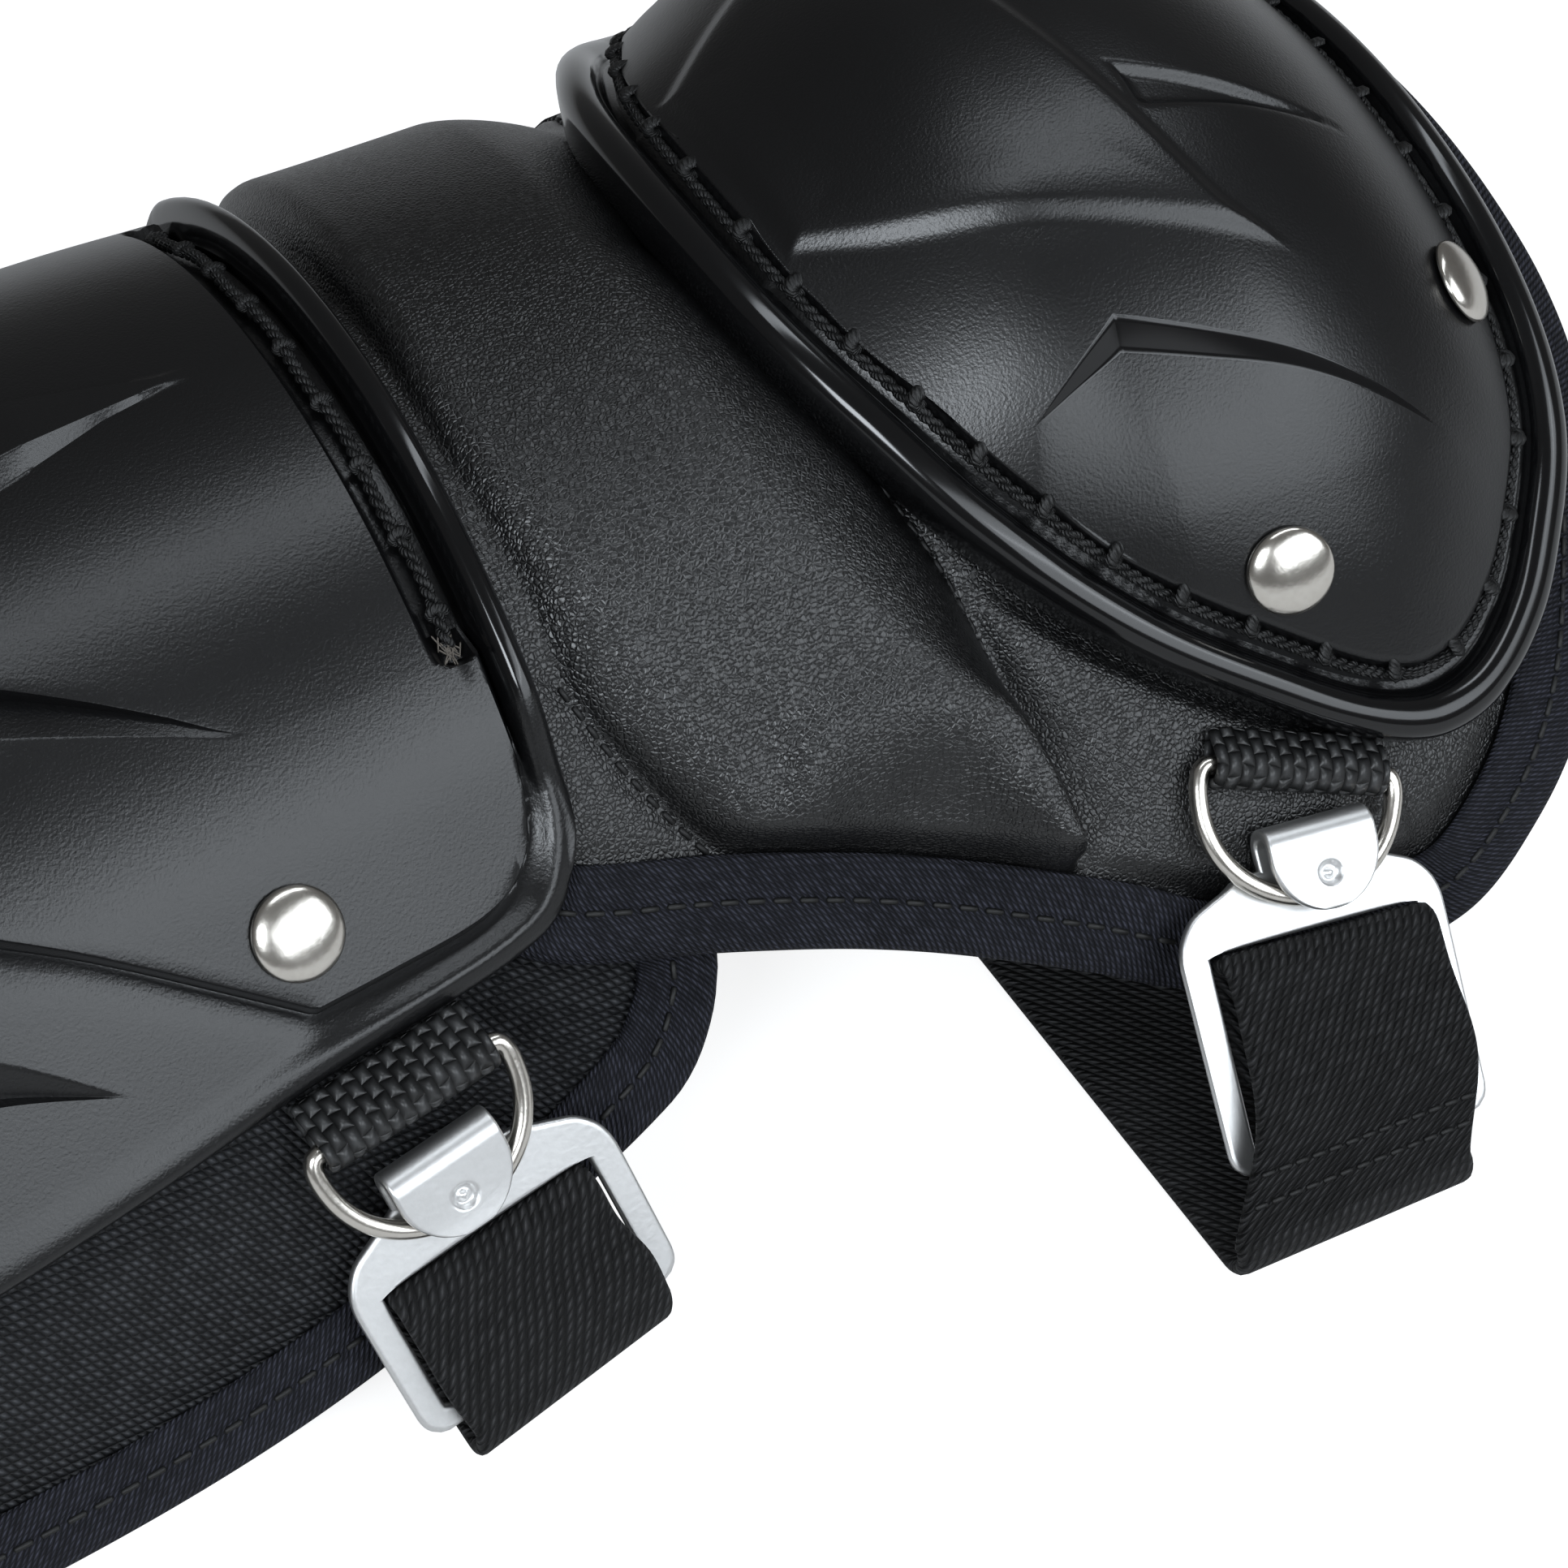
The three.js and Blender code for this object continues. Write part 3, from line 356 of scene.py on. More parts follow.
# %% From grids to meshes
def cells(index):
    """The four corners of every cell of a grid of vertex numbers."""
    corners = (index[:-1, :-1], index[1:, :-1], index[1:, 1:], index[:-1, 1:])
    return np.stack([c.ravel() for c in corners], 1)


def sheet(outer, inner, pattern, **marks):
    """Closed sheet: two grids of points whose border rows and columns are the same points."""
    rows, columns = outer.shape[:2]
    top = np.arange(rows * columns).reshape(rows, columns)
    under = top.copy()
    under[1:-1, 1:-1] = rows * columns + np.arange((rows - 2) * (columns - 2)).reshape(rows - 2, -1)
    both = [(g.reshape(rows, columns, -1), g.reshape(rows, columns, -1)[1:-1, 1:-1])
            for g in [pattern, *marks.values()]]
    joined = [np.concatenate([a.reshape(-1, a.shape[-1]), b.reshape(-1, b.shape[-1])]) for a, b in both]
    points = np.concatenate([outer.reshape(-1, 3), inner[1:-1, 1:-1].reshape(-1, 3)])
    faces = np.concatenate([cells(top), cells(under)[:, ::-1]])
    return {"points": points, "faces": [faces], "uv": [joined[0][faces]],
            "marks": {k: j[:, 0] for k, j in zip(marks, joined[1:])}}


def band(grid, pattern, loop=False, ends=True, **marks):
    """Closed band: rows of one closed profile, carried along a path or right round a loop."""
    rows, around = grid.shape[:2]
    index = np.arange(rows * around).reshape(rows, around)
    index = np.concatenate([index, index[:, :1]], 1)
    if loop:
        index = np.concatenate([index, index[:1]], 0)
    corner = cells(np.arange(index.size).reshape(index.shape))
    faces = [index.ravel()[corner]]
    uv = [pattern.reshape(-1, 2)[corner]]
    if ends and not loop:
        lids = np.stack([index[0, :-1], index[-1, :-1][::-1]])
        faces.append(lids)
        uv.append(np.stack([pattern[0, :-1], pattern[-1, :-1][::-1]]))
    return {"points": grid.reshape(-1, 3), "faces": faces, "uv": uv,
            "marks": {k: m.ravel() for k, m in marks.items()}}


def outward(patch):
    """Turns a closed patch to face outwards: its signed volume has to be above zero."""
    points = patch["points"] - patch["points"].mean(0)
    volume = 0.0
    for faces in patch["faces"]:
        a = points[faces[:, :1]]
        wedge = np.cross(points[faces[:, 1:-1]], points[faces[:, 2:]])
        volume += (a * wedge).sum()
    if volume < 0:
        patch["faces"] = [f[:, ::-1] for f in patch["faces"]]
        patch["uv"] = [u[:, ::-1] for u in patch["uv"]]
    return patch


def piece(name, slot, patches, node=None, crease=None):
    """One object from closed patches, dressed in its finish and riding on the guard."""
    patches = [outward(p) for p in patches]
    starts = np.cumsum([0] + [len(p["points"]) for p in patches])
    blocks = [f + s for p, s in zip(patches, starts) for f in p["faces"]]
    points = np.concatenate([p["points"] for p in patches])
    sizes = np.concatenate([np.full(len(b), b.shape[1]) for b in blocks])
    mesh = bpy.data.meshes.new(name)
    mesh.vertices.add(len(points))
    mesh.vertices.foreach_set("co", points.astype(np.float32).ravel())
    mesh.loops.add(int(sizes.sum()))
    mesh.loops.foreach_set("vertex_index", np.concatenate([b.ravel() for b in blocks]).astype(np.int32))
    mesh.polygons.add(len(sizes))
    mesh.polygons.foreach_set("loop_start", (np.cumsum(sizes) - sizes).astype(np.int32))
    uv = np.concatenate([u.reshape(-1, 2) for p in patches for u in p["uv"]])
    mesh.uv_layers.new(name="pattern").uv.foreach_set("vector", uv.astype(np.float32).ravel())
    for key in sorted({k for p in patches for k in p["marks"]}):
        values = [p["marks"].get(key, np.zeros(len(p["points"]))) for p in patches]
        mark = mesh.attributes.new(key, "FLOAT", "POINT")
        mark.data.foreach_set("value", np.concatenate(values).astype(np.float32))
    mesh.update(calc_edges=True)
    mesh.shade_smooth()
    if crease:
        mesh.set_sharp_from_angle(angle=math.radians(crease))
    made = bpy.data.objects.new(name, mesh)
    bpy.context.scene.collection.objects.link(made)
    mesh.materials.append(FINISH[slot]["material"])
    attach(made, "root")
    if node:
        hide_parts(node)
    print(name, len(points), "points", int((sizes - 2).sum()), "triangles")
    return made


# %% [markdown]
# The guard is drawn as a flat pattern first: x runs along the leg, and arc runs from the crest
# of the shin out round each side. A table gives the section of the leg at a few places. The
# section is an arc over the crest, a straight flank, and a second bend further out.

# %% Curves through tables
def ease(t):
    """Smooth step: three t squared minus two t cubed, with t held between 0 and 1."""
    q = np.clip(t, 0, 1)
    return q * q * (3 - 2 * q)


def smooth(rows, q, column=1):
    """Curve through a table: cubic pieces whose slopes come from the neighbours on both sides."""
    rows = np.asarray(rows, float)
    key = rows[:, 0]
    value = rows[:, column]
    at = np.clip(q, key[0], key[-1])
    i = np.clip(np.searchsorted(key, at, "right") - 1, 0, len(key) - 2)
    low = np.maximum(np.arange(len(key)) - 1, 0)
    high = np.minimum(np.arange(len(key)) + 1, len(key) - 1)
    slope = (value[high] - value[low]) / (key[high] - key[low])
    width = key[i + 1] - key[i]
    t = (at - key[i]) / width
    ends = value[i] * (2 * t**3 - 3 * t**2 + 1) + value[i + 1] * (3 * t**2 - 2 * t**3)
    return ends + width * (slope[i] * (t**3 - 2 * t**2 + t) + slope[i + 1] * (t**3 - t**2))


def straight(rows, q):
    """Straight lines through a table."""
    rows = np.asarray(rows, float)
    return np.interp(q, rows[:, 0], rows[:, 1])


def unit(vectors):
    """Each row brought to length one."""
    return vectors / np.linalg.norm(vectors, axis=1)[:, None]


def lengths(path):
    """Length of chord from the start of a path to each of its points."""
    return np.concatenate([[0], np.cumsum(np.linalg.norm(np.diff(path, axis=0), axis=1))])


def pairs(first, second):
    """Pattern coordinates of a grid from two arrays that spread over it."""
    return np.stack(np.broadcast_arrays(first, second), -1)


def metres(points):
    """Points of the pattern's own millimetres in the frame's metres."""
    return (points + SHIFT) * 0.001


def drawn(rows, count, loop=False):
    """Even points along a smooth line through rows of coordinates, by length of chord."""
    rows = np.asarray(rows, float)
    if loop:
        rows = np.concatenate([rows[-3:], rows, rows[:4]])
    chord = lengths(rows[:, :3])
    table = np.column_stack([chord, rows])
    ends = (chord[3], chord[-4]) if loop else (0, chord[-1])
    q = np.linspace(*ends, count + 1)[:-1] if loop else np.linspace(*ends, count)
    return np.stack([smooth(table, q, k) for k in range(1, table.shape[1])], 1)


BASE = [
    (-300, 76, 56, 56), (-205, 82, 64, 54), (-110, 86, 70, 51), (-65, 86.5, 71, 50),
    (-22, 86, 69, 50), (0, 85.3, 66, 50), (27, 84.2, 66, 50), (48, 83, 69, 48),
    (76, 82.5, 75, 45), (108, 79.5, 77, 44), (135, 72.5, 75, 45), (162, 61.5, 71, 46),
]
BEND_AT = 90
BEND = 45
LOWEST = math.radians(66)
GAP = 0.5
PLATE = 2.7


def place(x, arc, height):
    """Point of the guard: arc over the crest, then flank, then bend, and height square to it."""
    x, arc, height = np.broadcast_arrays(x, arc, height)
    crest = smooth(BASE, x, 1)
    radius = smooth(BASE, x, 2)
    slope = np.radians(smooth(BASE, x, 3))
    far = np.abs(arc)
    first = np.minimum(far, radius * slope) / radius
    flat = np.clip(far - radius * slope, 0, BEND_AT - radius * slope)
    bend = np.clip(far - BEND_AT, 0, BEND * (LOWEST - slope)) / BEND
    tail = np.maximum(far - BEND_AT - BEND * (LOWEST - slope), 0)
    third = slope + bend
    y = (radius * np.sin(first) + flat * np.cos(slope) + BEND * (np.sin(third) - np.sin(slope))
         + tail * math.cos(LOWEST))
    z = (crest - radius * (1 - np.cos(first)) - flat * np.sin(slope)
         - BEND * (np.cos(slope) - np.cos(third)) - tail * math.sin(LOWEST))
    lean = first + bend
    side = np.where(arc < 0, -1.0, 1.0)
    out = np.stack([x, side * (y + height * np.sin(lean)), z + height * np.cos(lean)], -1)
    return metres(out)


def squared(surface, x, arc):
    """A point of a surface with its unit normal, from small steps both ways."""
    along = surface(x + 0.5, arc) - surface(x - 0.5, arc)
    over = surface(x, arc + 0.5) - surface(x, arc - 0.5)
    normal = np.cross(along, over)
    return surface(x, arc), normal / np.linalg.norm(normal, axis=-1, keepdims=True)


print("crest at the knee in m", place(93.0, 0.0, 0.0).round(4))

# %% [markdown]
# The shin plate is a moulded sheet. Its relief is crisp, so the columns of the grid run along
# the relief: one guide line for the ridge down the middle, two for each sunk wedge, two for the
# step of the raised middle. A grid that follows its edges needs far fewer points than a fine
# even one. A bead with a groove behind it closes the top.

# %% Lines of the shin plate
PLATE_END = -246
RIM_ROUND = 1.3
BEAD_HALF = 2.3
BEAD_HIGH = 6.5
GROOVE_AT = 7.7
GROOVE_HALF = 3.15
GROOVE_DEEP = 3.0
GROOVE_END = 42
PLATE_EDGE = [
    (-246, 30), (-244.5, 45), (-239, 60), (-228, 74), (-210, 82), (-185, 89), (-150, 94),
    (-115, 95), (-83, 91.5), (-62, 87.9), (-42, 83.7), (-22.4, 80.6), (-13, 78.6),
    (-6.7, 75.9), (-2.5, 70.5), (-0.5, 64.5), (0, 58),
]
STEP_LEFT = [
    (-246, 26), (-200, 38), (-150, 42), (-110, 43), (-85, 46.5), (-69.5, 55), (-60, 60.5),
    (-45.5, 70.5), (-38.4, 75.5),
]
STEP_RIGHT = [
    (-38.4, 75.5), (-28.5, 74.5), (-16.5, 72.9), (-10.8, 70.3), (-7.4, 66), (-5.7, 60), (-5.1, 53),
    (-4.9, 46), (-4.8, 40),
]
WEDGE_MIDDLE = [
    (-118, 20), (-95, 22.5), (-75, 26.5), (-60, 32.1), (-50, 36.6), (-43, 40), (-34, 44), (0, 44.5),
]
WEDGE_HALF = [(-118, 0), (-95, 3.2), (-75, 4), (-60, 3.1), (-50, 2.1), (-43, 1.25), (-34, 0)]
WEDGE_FLOOR = 0.07
SCOOP_FLOOR = 0.86
SCOOP_UPPER = [(-150, 66), (-120, 58), (-90, 58.5), (-74, 67.1), (-61.8, 76.3)]
SCOOP_LOWER = [(-150, 66), (-120, 68), (-90, 69.3), (-75.7, 71.7), (-61.8, 76.3)]


step_line = np.concatenate([drawn(STEP_LEFT, 60), drawn(STEP_RIGHT, 40)[1:]])
edge_line = drawn(PLATE_EDGE, 90)


def apart(x, arc, rows):
    """Shortest distance in the flat pattern from points to a line of straight stretches."""
    rows = np.asarray(rows, float)
    far = np.abs(arc)
    best = np.full(np.shape(x), 1e9)
    for (x0, a0), (x1, a1) in zip(rows[:-1], rows[1:]):
        dx = x1 - x0
        da = a1 - a0
        t = np.clip(((x - x0) * dx + (far - a0) * da) / (dx * dx + da * da), 0, 1)
        best = np.minimum(best, np.hypot(x - x0 - t * dx, far - a0 - t * da))
    return best


def plate_lines(x):
    """Arcs of the guide lines at each x, from the crest to the plate's edge."""
    edge = smooth(PLATE_EDGE, x)
    step = np.minimum(straight(step_line, x), edge - 4)
    gone = np.maximum(-20 - x, 0)
    ridge = np.maximum(13 * np.tanh(0.17 * gone / 13), 0.6)
    foot = ridge + np.maximum(6 * np.tanh(0.15 * np.maximum(gone - 8, 0) / 6), 0.6)
    middle = smooth(WEDGE_MIDDLE, x)
    half = np.maximum(smooth(WEDGE_HALF, x), 0.15) * np.where(x < -118, 0.4, 1)
    share = np.where(x > -61.8, 0.617, 0.5)
    rest = step + 1.4 + share * (edge - 3.2 - step)
    inside = (x > -150) & (x < -61.8)
    upper = np.where(inside, smooth(SCOOP_UPPER, x), rest)
    lower = np.where(inside, smooth(SCOOP_LOWER, x), rest)
    upper = np.clip(upper, step + 2.2, edge - 3)
    lower = np.maximum(lower, upper + 0.3)
    return {"edge": edge, "step": step, "ridge": ridge, "foot": foot, "wedge": middle - half,
            "ledge": middle + half, "upper": upper, "lower": lower}


def trough(far, start, stop, floor, rate, most):
    """A cut between two guide lines: deepest at a share of its width, and deeper where it is wide."""
    wide = stop - start
    q = (far - start) / wide
    deep = np.minimum(rate * np.maximum(wide - 0.3, 0), most)
    return deep * np.clip(np.minimum(q / floor, (1 - q) / (1 - floor)), 0, 1)


def plate_height(x, arc):
    """Height of the plate's face: a base, the raised middle, the ridge, the wedges, the bead."""
    far = np.abs(arc)
    line = plate_lines(x)
    outside = (far > line["step"]) | (x > -4.8)
    past = apart(x, arc, step_line) * np.where(outside, 1, -1)
    h = GAP + PLATE + 1.3 * ease((0.55 - past) / 1.1)
    h = h - 1.2 * ease((past + 0.55) / 1.1) * np.exp(-np.maximum(past - 0.55, 0) / 1.9)
    fall = np.clip((far - line["ridge"]) / (line["foot"] - line["ridge"]), 0, 1)
    h = h + 1.9 * (1 - fall) * np.clip((-20 - x) / 22, 0, 1)
    h = h - trough(far, line["wedge"], line["ledge"], WEDGE_FLOOR, 0.42, 2.2)
    h = h - trough(far, line["upper"], line["lower"], SCOOP_FLOOR, 0.32, 1.6)
    inset = apart(x, arc, edge_line)
    h = h + (0.3 + 0.7 * ease((x + 48) / 25)) * np.exp(-((inset - 2.6) / 1.6) ** 2)
    past_end = np.maximum(far - GROOVE_END, 0)
    over = np.where(x > -GROOVE_AT, (x + GROOVE_AT) * ease(past_end / 2), x + GROOVE_AT)
    h = h - GROOVE_DEEP * ease((GROOVE_HALF - np.hypot(over, past_end)) / 0.9)
    round_bead = np.clip(1 - np.abs((x + BEAD_HALF) / BEAD_HALF) ** 2.5, 0, 1) ** 0.4
    tall = GAP + (BEAD_HIGH - 3.3 * ease((far - 48) / 14)) * round_bead
    return np.where(x > -2 * BEAD_HALF, np.maximum(np.where(x > -BEAD_HALF, 0, h), tall), h)


print("plate face at the lip", plate_height(np.array([-12.0, -7.0, -2.3]), np.zeros(3)).round(2))

# %% [markdown]
# Columns are packed between the guide lines, few where the face is plain and many at an edge. The
# face and the underside share their border, which rounds the rim off. The bead is polished, so
# the gloss number is raised there.

# %% Shin plate
COLUMNS = [
    # guide line, way past it, columns from the stop before
    ("ridge", -0.25, 7), ("ridge", 0, 1), ("ridge", 0.2, 1), ("foot", -0.2, 4), ("foot", 0, 1),
    ("foot", 0.4, 1), ("wedge", -0.3, 12), ("wedge", 0, 1), ("wall", 0, 3), ("ledge", -0.12, 4),
    ("ledge", 0, 1), ("ledge", 0.3, 1), ("step", -0.8, 14), ("step", -0.55, 1), ("step", 0.55, 8),
    ("step", 0.8, 1), ("step", 3.0, 6), ("upper", -0.3, 6), ("upper", 0, 1), ("deep", 0, 5),
    ("lower", 0, 3), ("lower", 0.3, 1),
]


def between(stops, counts):
    """Columns between neighbouring guide lines, each stretch with its own count."""
    runs = [a[:, None] + (b - a)[:, None] * np.linspace(0, 1, n + 1)[None, :-1]
            for a, b, n in zip(stops[:-1], stops[1:], counts)]
    return np.concatenate(runs + [stops[-1][:, None]], 1)


rolled = RIM_ROUND * (1 - np.cos(np.linspace(0, np.pi / 2, 6)))
plate_x = np.concatenate([
    PLATE_END + rolled[:-1], np.arange(PLATE_END + RIM_ROUND, -112, 2.2), np.arange(-112, -16, 1.0),
    np.arange(-16, -2 * BEAD_HALF, 0.45), -BEAD_HALF - BEAD_HALF * np.cos(np.linspace(0, np.pi, 22)),
])
line = plate_lines(plate_x)
rim_in = [line["edge"] - RIM_ROUND + RIM_ROUND * np.sin(a) for a in np.linspace(0, np.pi / 2, 6)]
line["wall"] = line["wedge"] + WEDGE_FLOOR * (line["ledge"] - line["wedge"])
line["step"] = np.maximum(line["step"], np.where(plate_x > -20, 62, 0))
line["deep"] = line["upper"] + SCOOP_FLOOR * (line["lower"] - line["upper"])
stops = [0 * plate_x] + [line[k] + past for k, past, _ in COLUMNS] + rim_in
stops = list(np.maximum.accumulate(np.stack(stops) + np.arange(len(stops))[:, None] * 1e-3))
half = between(stops, [n for *_, n in COLUMNS] + [9, 1, 1, 1, 1, 1])
arcs = np.concatenate([-half[:, :0:-1], half], 1)
spread_x = np.broadcast_to(plate_x[:, None], arcs.shape)
top = plate_height(spread_x, arcs)
side = np.clip((smooth(PLATE_EDGE, spread_x) - np.abs(arcs)) / RIM_ROUND, 0, 1)
end = np.clip((spread_x - PLATE_END) / RIM_ROUND, 0, 1)
full = np.sqrt(1 - (1 - np.minimum(side, end)) ** 2)
waist = np.where(spread_x > -2 * BEAD_HALF, GAP + 0.2, GAP + PLATE / 2)
outer = place(spread_x, arcs, waist + (top - waist) * full)
inner = place(spread_x, arcs, waist - (waist - GAP) * full)
shine = ease((spread_x + 5.4) / 0.6) * ease((50.5 - np.abs(arcs)) / 0.8)
pattern = np.stack([spread_x, arcs], -1)
piece("shin_plate_shell", "shell", [sheet(outer, inner, pattern, gloss=shine)], "shin_plate", crease=40)

# %% [markdown]
# The knee cap is a dome, so it is drawn in rings round a middle. Rings near the brow line follow
# that line, which keeps its polished bevel sharp. Outside the dome come the floor of the lacing
# groove, the bead and the side wall, set in from the rim by a fixed distance.

# %% Lines of the knee cap
CAP_RIM = [
    (40.8, 0), (41.6, 13), (43.9, 24), (48.5, 36), (56.6, 52), (71.2, 71.3), (88.4, 86),
    (98, 92), (107.5, 94.2), (118, 91.3), (128.5, 82.7), (136.5, 71.6), (142, 61.5),
    (145.4, 50), (147, 36), (147.4, 18), (147.4, 0),
]
PANEL_SIDE = [(53, 14), (62.7, 19.1), (75.2, 23.8), (101.7, 33.6), (110, 37)]
CHEVRON = [(0, 89.5), (15.4, 94.4), (28.9, 99.3), (34.5, 103.5), (60, 124)]
BROW_UPPER = [
    (68.1, 43.8), (74.5, 40.4), (80.9, 37.2), (90, 41.3), (101.3, 46.4), (110.5, 51.6), (119.6, 57.8),
]
BROW_LOWER = [
    (68.1, 43.8), (74.5, 42.0), (81.0, 40.3), (90, 43.9), (101, 48.2), (110.5, 52.7), (119.6, 57.8),
]
MIDDLE = 80.0
DOME_MIDDLE = 93
DOME_FOOT = 7.8
DOME_HIGH = 13.7
BROW_TURN = [math.atan2(a, x - MIDDLE) for x, a in (BROW_UPPER[-1], BROW_UPPER[2], BROW_UPPER[0])]

rim_rows = CAP_RIM + [(x, -a) for x, a in CAP_RIM[-2:0:-1]]
rim = drawn(rim_rows, 1600, loop=True)
ahead = np.roll(rim, -1, 0) - np.roll(rim, 1, 0)
rim_out = np.stack([ahead[:, 1], -ahead[:, 0]], 1) / np.linalg.norm(ahead, axis=1)[:, None]
rim_out = rim_out * np.sign((rim_out * (rim - (DOME_MIDDLE, 0))).sum())
DOME_INSET = 9.4
dome_edge = rim - DOME_INSET * rim_out


def reach(line, centre, angle):
    """Distance from a middle out to a closed line, by angle."""
    dx = line[:, 0] - centre
    turn = np.arctan2(line[:, 1], dx)
    return np.interp(angle, turn, np.hypot(dx, line[:, 1]), period=2 * np.pi)


def brow(line, angle):
    """Distance from the middle to a brow line, each limb a smooth curve, carried on past both tips."""
    rows = np.asarray(line, float)
    rows = np.concatenate([drawn(rows[:3], 40), drawn(rows[2:], 80)[1:]])
    turn = np.arctan2(rows[:, 1], rows[:, 0] - MIDDLE)[::-1]
    far = np.hypot(rows[:, 0] - MIDDLE, rows[:, 1])[::-1]
    turn = np.concatenate([[0, turn[0] * 0.6], turn, [turn[-1] * 0.5 + np.pi * 0.5, np.pi]])
    far = np.concatenate([[48, 54], far, [34, 26.5]])
    return np.interp(np.abs(angle), turn, far)


def cap_height(x, arc):
    """Height of the cap's face: a full dome, a raised panel, the brow's drop and a small facet."""
    far = np.abs(arc)
    out = np.hypot(x - DOME_MIDDLE, far)
    s = out / reach(dome_edge, DOME_MIDDLE, np.arctan2(far, x - DOME_MIDDLE))
    full = DOME_HIGH * (0.6 + 0.4 * ease((x - 46) / 34))
    h = DOME_FOOT + full * (1 - np.clip(s, 0, 1.05) ** 2.4)
    inside = np.minimum(np.minimum(smooth(PANEL_SIDE, x) - far, x - 53), smooth(CHEVRON, far) - x)
    h = h + 0.95 * ease(inside / 2.8 + 0.5) + 0.2 * np.exp(-((inside - 3) / 3) ** 2)
    angle = np.arctan2(far, x - MIDDLE)
    radius = np.hypot(x - MIDDLE, far)
    upper = brow(BROW_UPPER, angle)
    lower = brow(BROW_LOWER, angle)
    q = np.clip((radius - upper) / np.maximum(lower - upper, 0.01), 0, 1)
    t = np.interp(angle, BROW_TURN, [1, 0.5, 0])
    h = h - 2.3 * np.abs(np.sin(np.pi * t)) ** 1.3 * q * (1 - ease((radius - lower) / 30))
    facet = np.minimum(np.minimum(far - 12 - 0.36 * (x - 97), 18.5 + 0.16 * (x - 97) - far),
                       np.minimum(x - 97, 126 - x))
    return h - 1.3 * ease(facet / 1.6)


def on_cap(x, arc):
    """Point of the cap's face."""
    return place(x, arc, cap_height(x, arc))


print("cap's middle stands", cap_height(np.array([93.0]), np.array([0.0])).round(2), "mm up")

# %% [markdown]
# The rings run out from the middle over the dome, down into the groove, over the bead and back
# underneath. A fan of triangles closes the middle on both faces, so the cap is one closed shape.

# %% Knee cap
corner = [math.atan2(a, x - MIDDLE) for x, a in BROW_UPPER]
turns = np.unique(np.round(np.concatenate([np.linspace(-np.pi, np.pi, 541)[:-1], corner,
                                           [-c for c in corner]]), 5))
turn_of = np.arctan2(rim[:, 1], rim[:, 0] - MIDDLE)
order = np.argsort(turn_of)
edge_at, out_at = (
    np.stack([np.interp(turns, turn_of[order], line[order, k], period=2 * np.pi) for k in (0, 1)], 1)
    for line in (rim, rim_out)
)
ray = np.stack([np.cos(turns), np.sin(turns)], 1)
upper = brow(BROW_UPPER, turns)
lower = np.maximum(brow(BROW_LOWER, turns), upper + 0.25)
brow_at = [ray * r[:, None] + (MIDDLE, 0) for r in (upper - 0.5, upper, lower, lower + 0.5)]
foot_at = edge_at - DOME_INSET * out_at
stretches = [((0 * ray + (MIDDLE, 0)), brow_at[0], 62), (brow_at[0], brow_at[1], 2),
             (brow_at[1], brow_at[2], 6), (brow_at[2], brow_at[3], 2), (brow_at[3], foot_at, 34)]
rings = [a + (b - a) * t for a, b, n in stretches for t in np.arange(n) / n][1:] + [foot_at]
dome = [on_cap(*r.T) for r in rings]
SECTION = [
    # set in from the rim, height, gloss
    (9.2, 7.3, 0), (9.0, 6.5, 0), (8.85, 5.6, 0), (8.6, 4.9, 0), (8.1, 4.55, 0), (7.2, 4.45, 0),
    (6.3, 4.5, 0), (5.9, 4.7, 0.2), (5.7, 5.2, 0.6), (5.5, 6.0, 1), (5.2, 6.8, 1), (4.7, 7.5, 1),
    (4.0, 8.05, 1), (3.3, 8.35, 1), (2.6, 8.45, 1), (1.9, 8.35, 1), (1.25, 8.05, 1), (0.7, 7.55, 1),
    (0.3, 6.9, 1), (0.08, 6.1, 1), (-0.05, 4.8, 1), (-0.12, 3.2, 0.9), (-0.2, 1.6, 0.8), (-0.2, 1.0, 0.8),
    (0.0, 0.65, 0.8), (0.4, 0.5, 0.8), (2.6, 0.5, 0), (3.1, 0.9, 0), (3.3, 3.0, 0),
]
wall = [place(*(edge_at - d * out_at).T, h) for d, h, _ in SECTION]
under = [((MIDDLE, 0) + (foot_at - (MIDDLE, 0)) * t) for t in (0.95, 0.75, 0.5, 0.25)]
lining = [place(*r.T, cap_height(*r.T) - PLATE) for r in under]
grid = np.stack(dome + wall + lining)
bevel = (np.arange(len(dome))[:, None] >= 63) & (np.arange(len(dome))[:, None] <= 69)
bevel = bevel * ease((brow(BROW_LOWER, turns) - upper - 0.2) / 0.6)[None, :]
shine = np.concatenate([bevel, np.repeat([[g] for *_, g in SECTION], len(turns), 1),
                        np.zeros((len(lining), len(turns)))])
flat_grid = np.concatenate([np.stack(rings), np.stack([edge_at - d * out_at for d, *_ in SECTION]),
                            np.stack(under)])
closing = np.concatenate([flat_grid, flat_grid[:, :1]], 1)
cap = band(grid, closing, ends=False, gloss=shine)
count = len(turns)
poles = np.stack([on_cap(MIDDLE, 0.0), place(MIDDLE, 0.0, cap_height(MIDDLE, 0.0) - PLATE)])
first = np.arange(count)
last = (len(grid) - 1) * count + first
fan = np.stack([np.full(count, grid.shape[0] * count), first, np.roll(first, -1)], 1)
tail = np.stack([np.full(count, grid.shape[0] * count + 1), np.roll(last, -1), last], 1)
cap["points"] = np.concatenate([cap["points"], poles])
cap["marks"]["gloss"] = np.concatenate([cap["marks"]["gloss"], [0, 0]])
for lid in (fan, tail):
    cap["faces"].append(lid)
    cap["uv"].append(np.full((count, 3, 2), (MIDDLE, 0.0)))
piece("knee_cap_shell", "shell", [cap], "knee_cap")

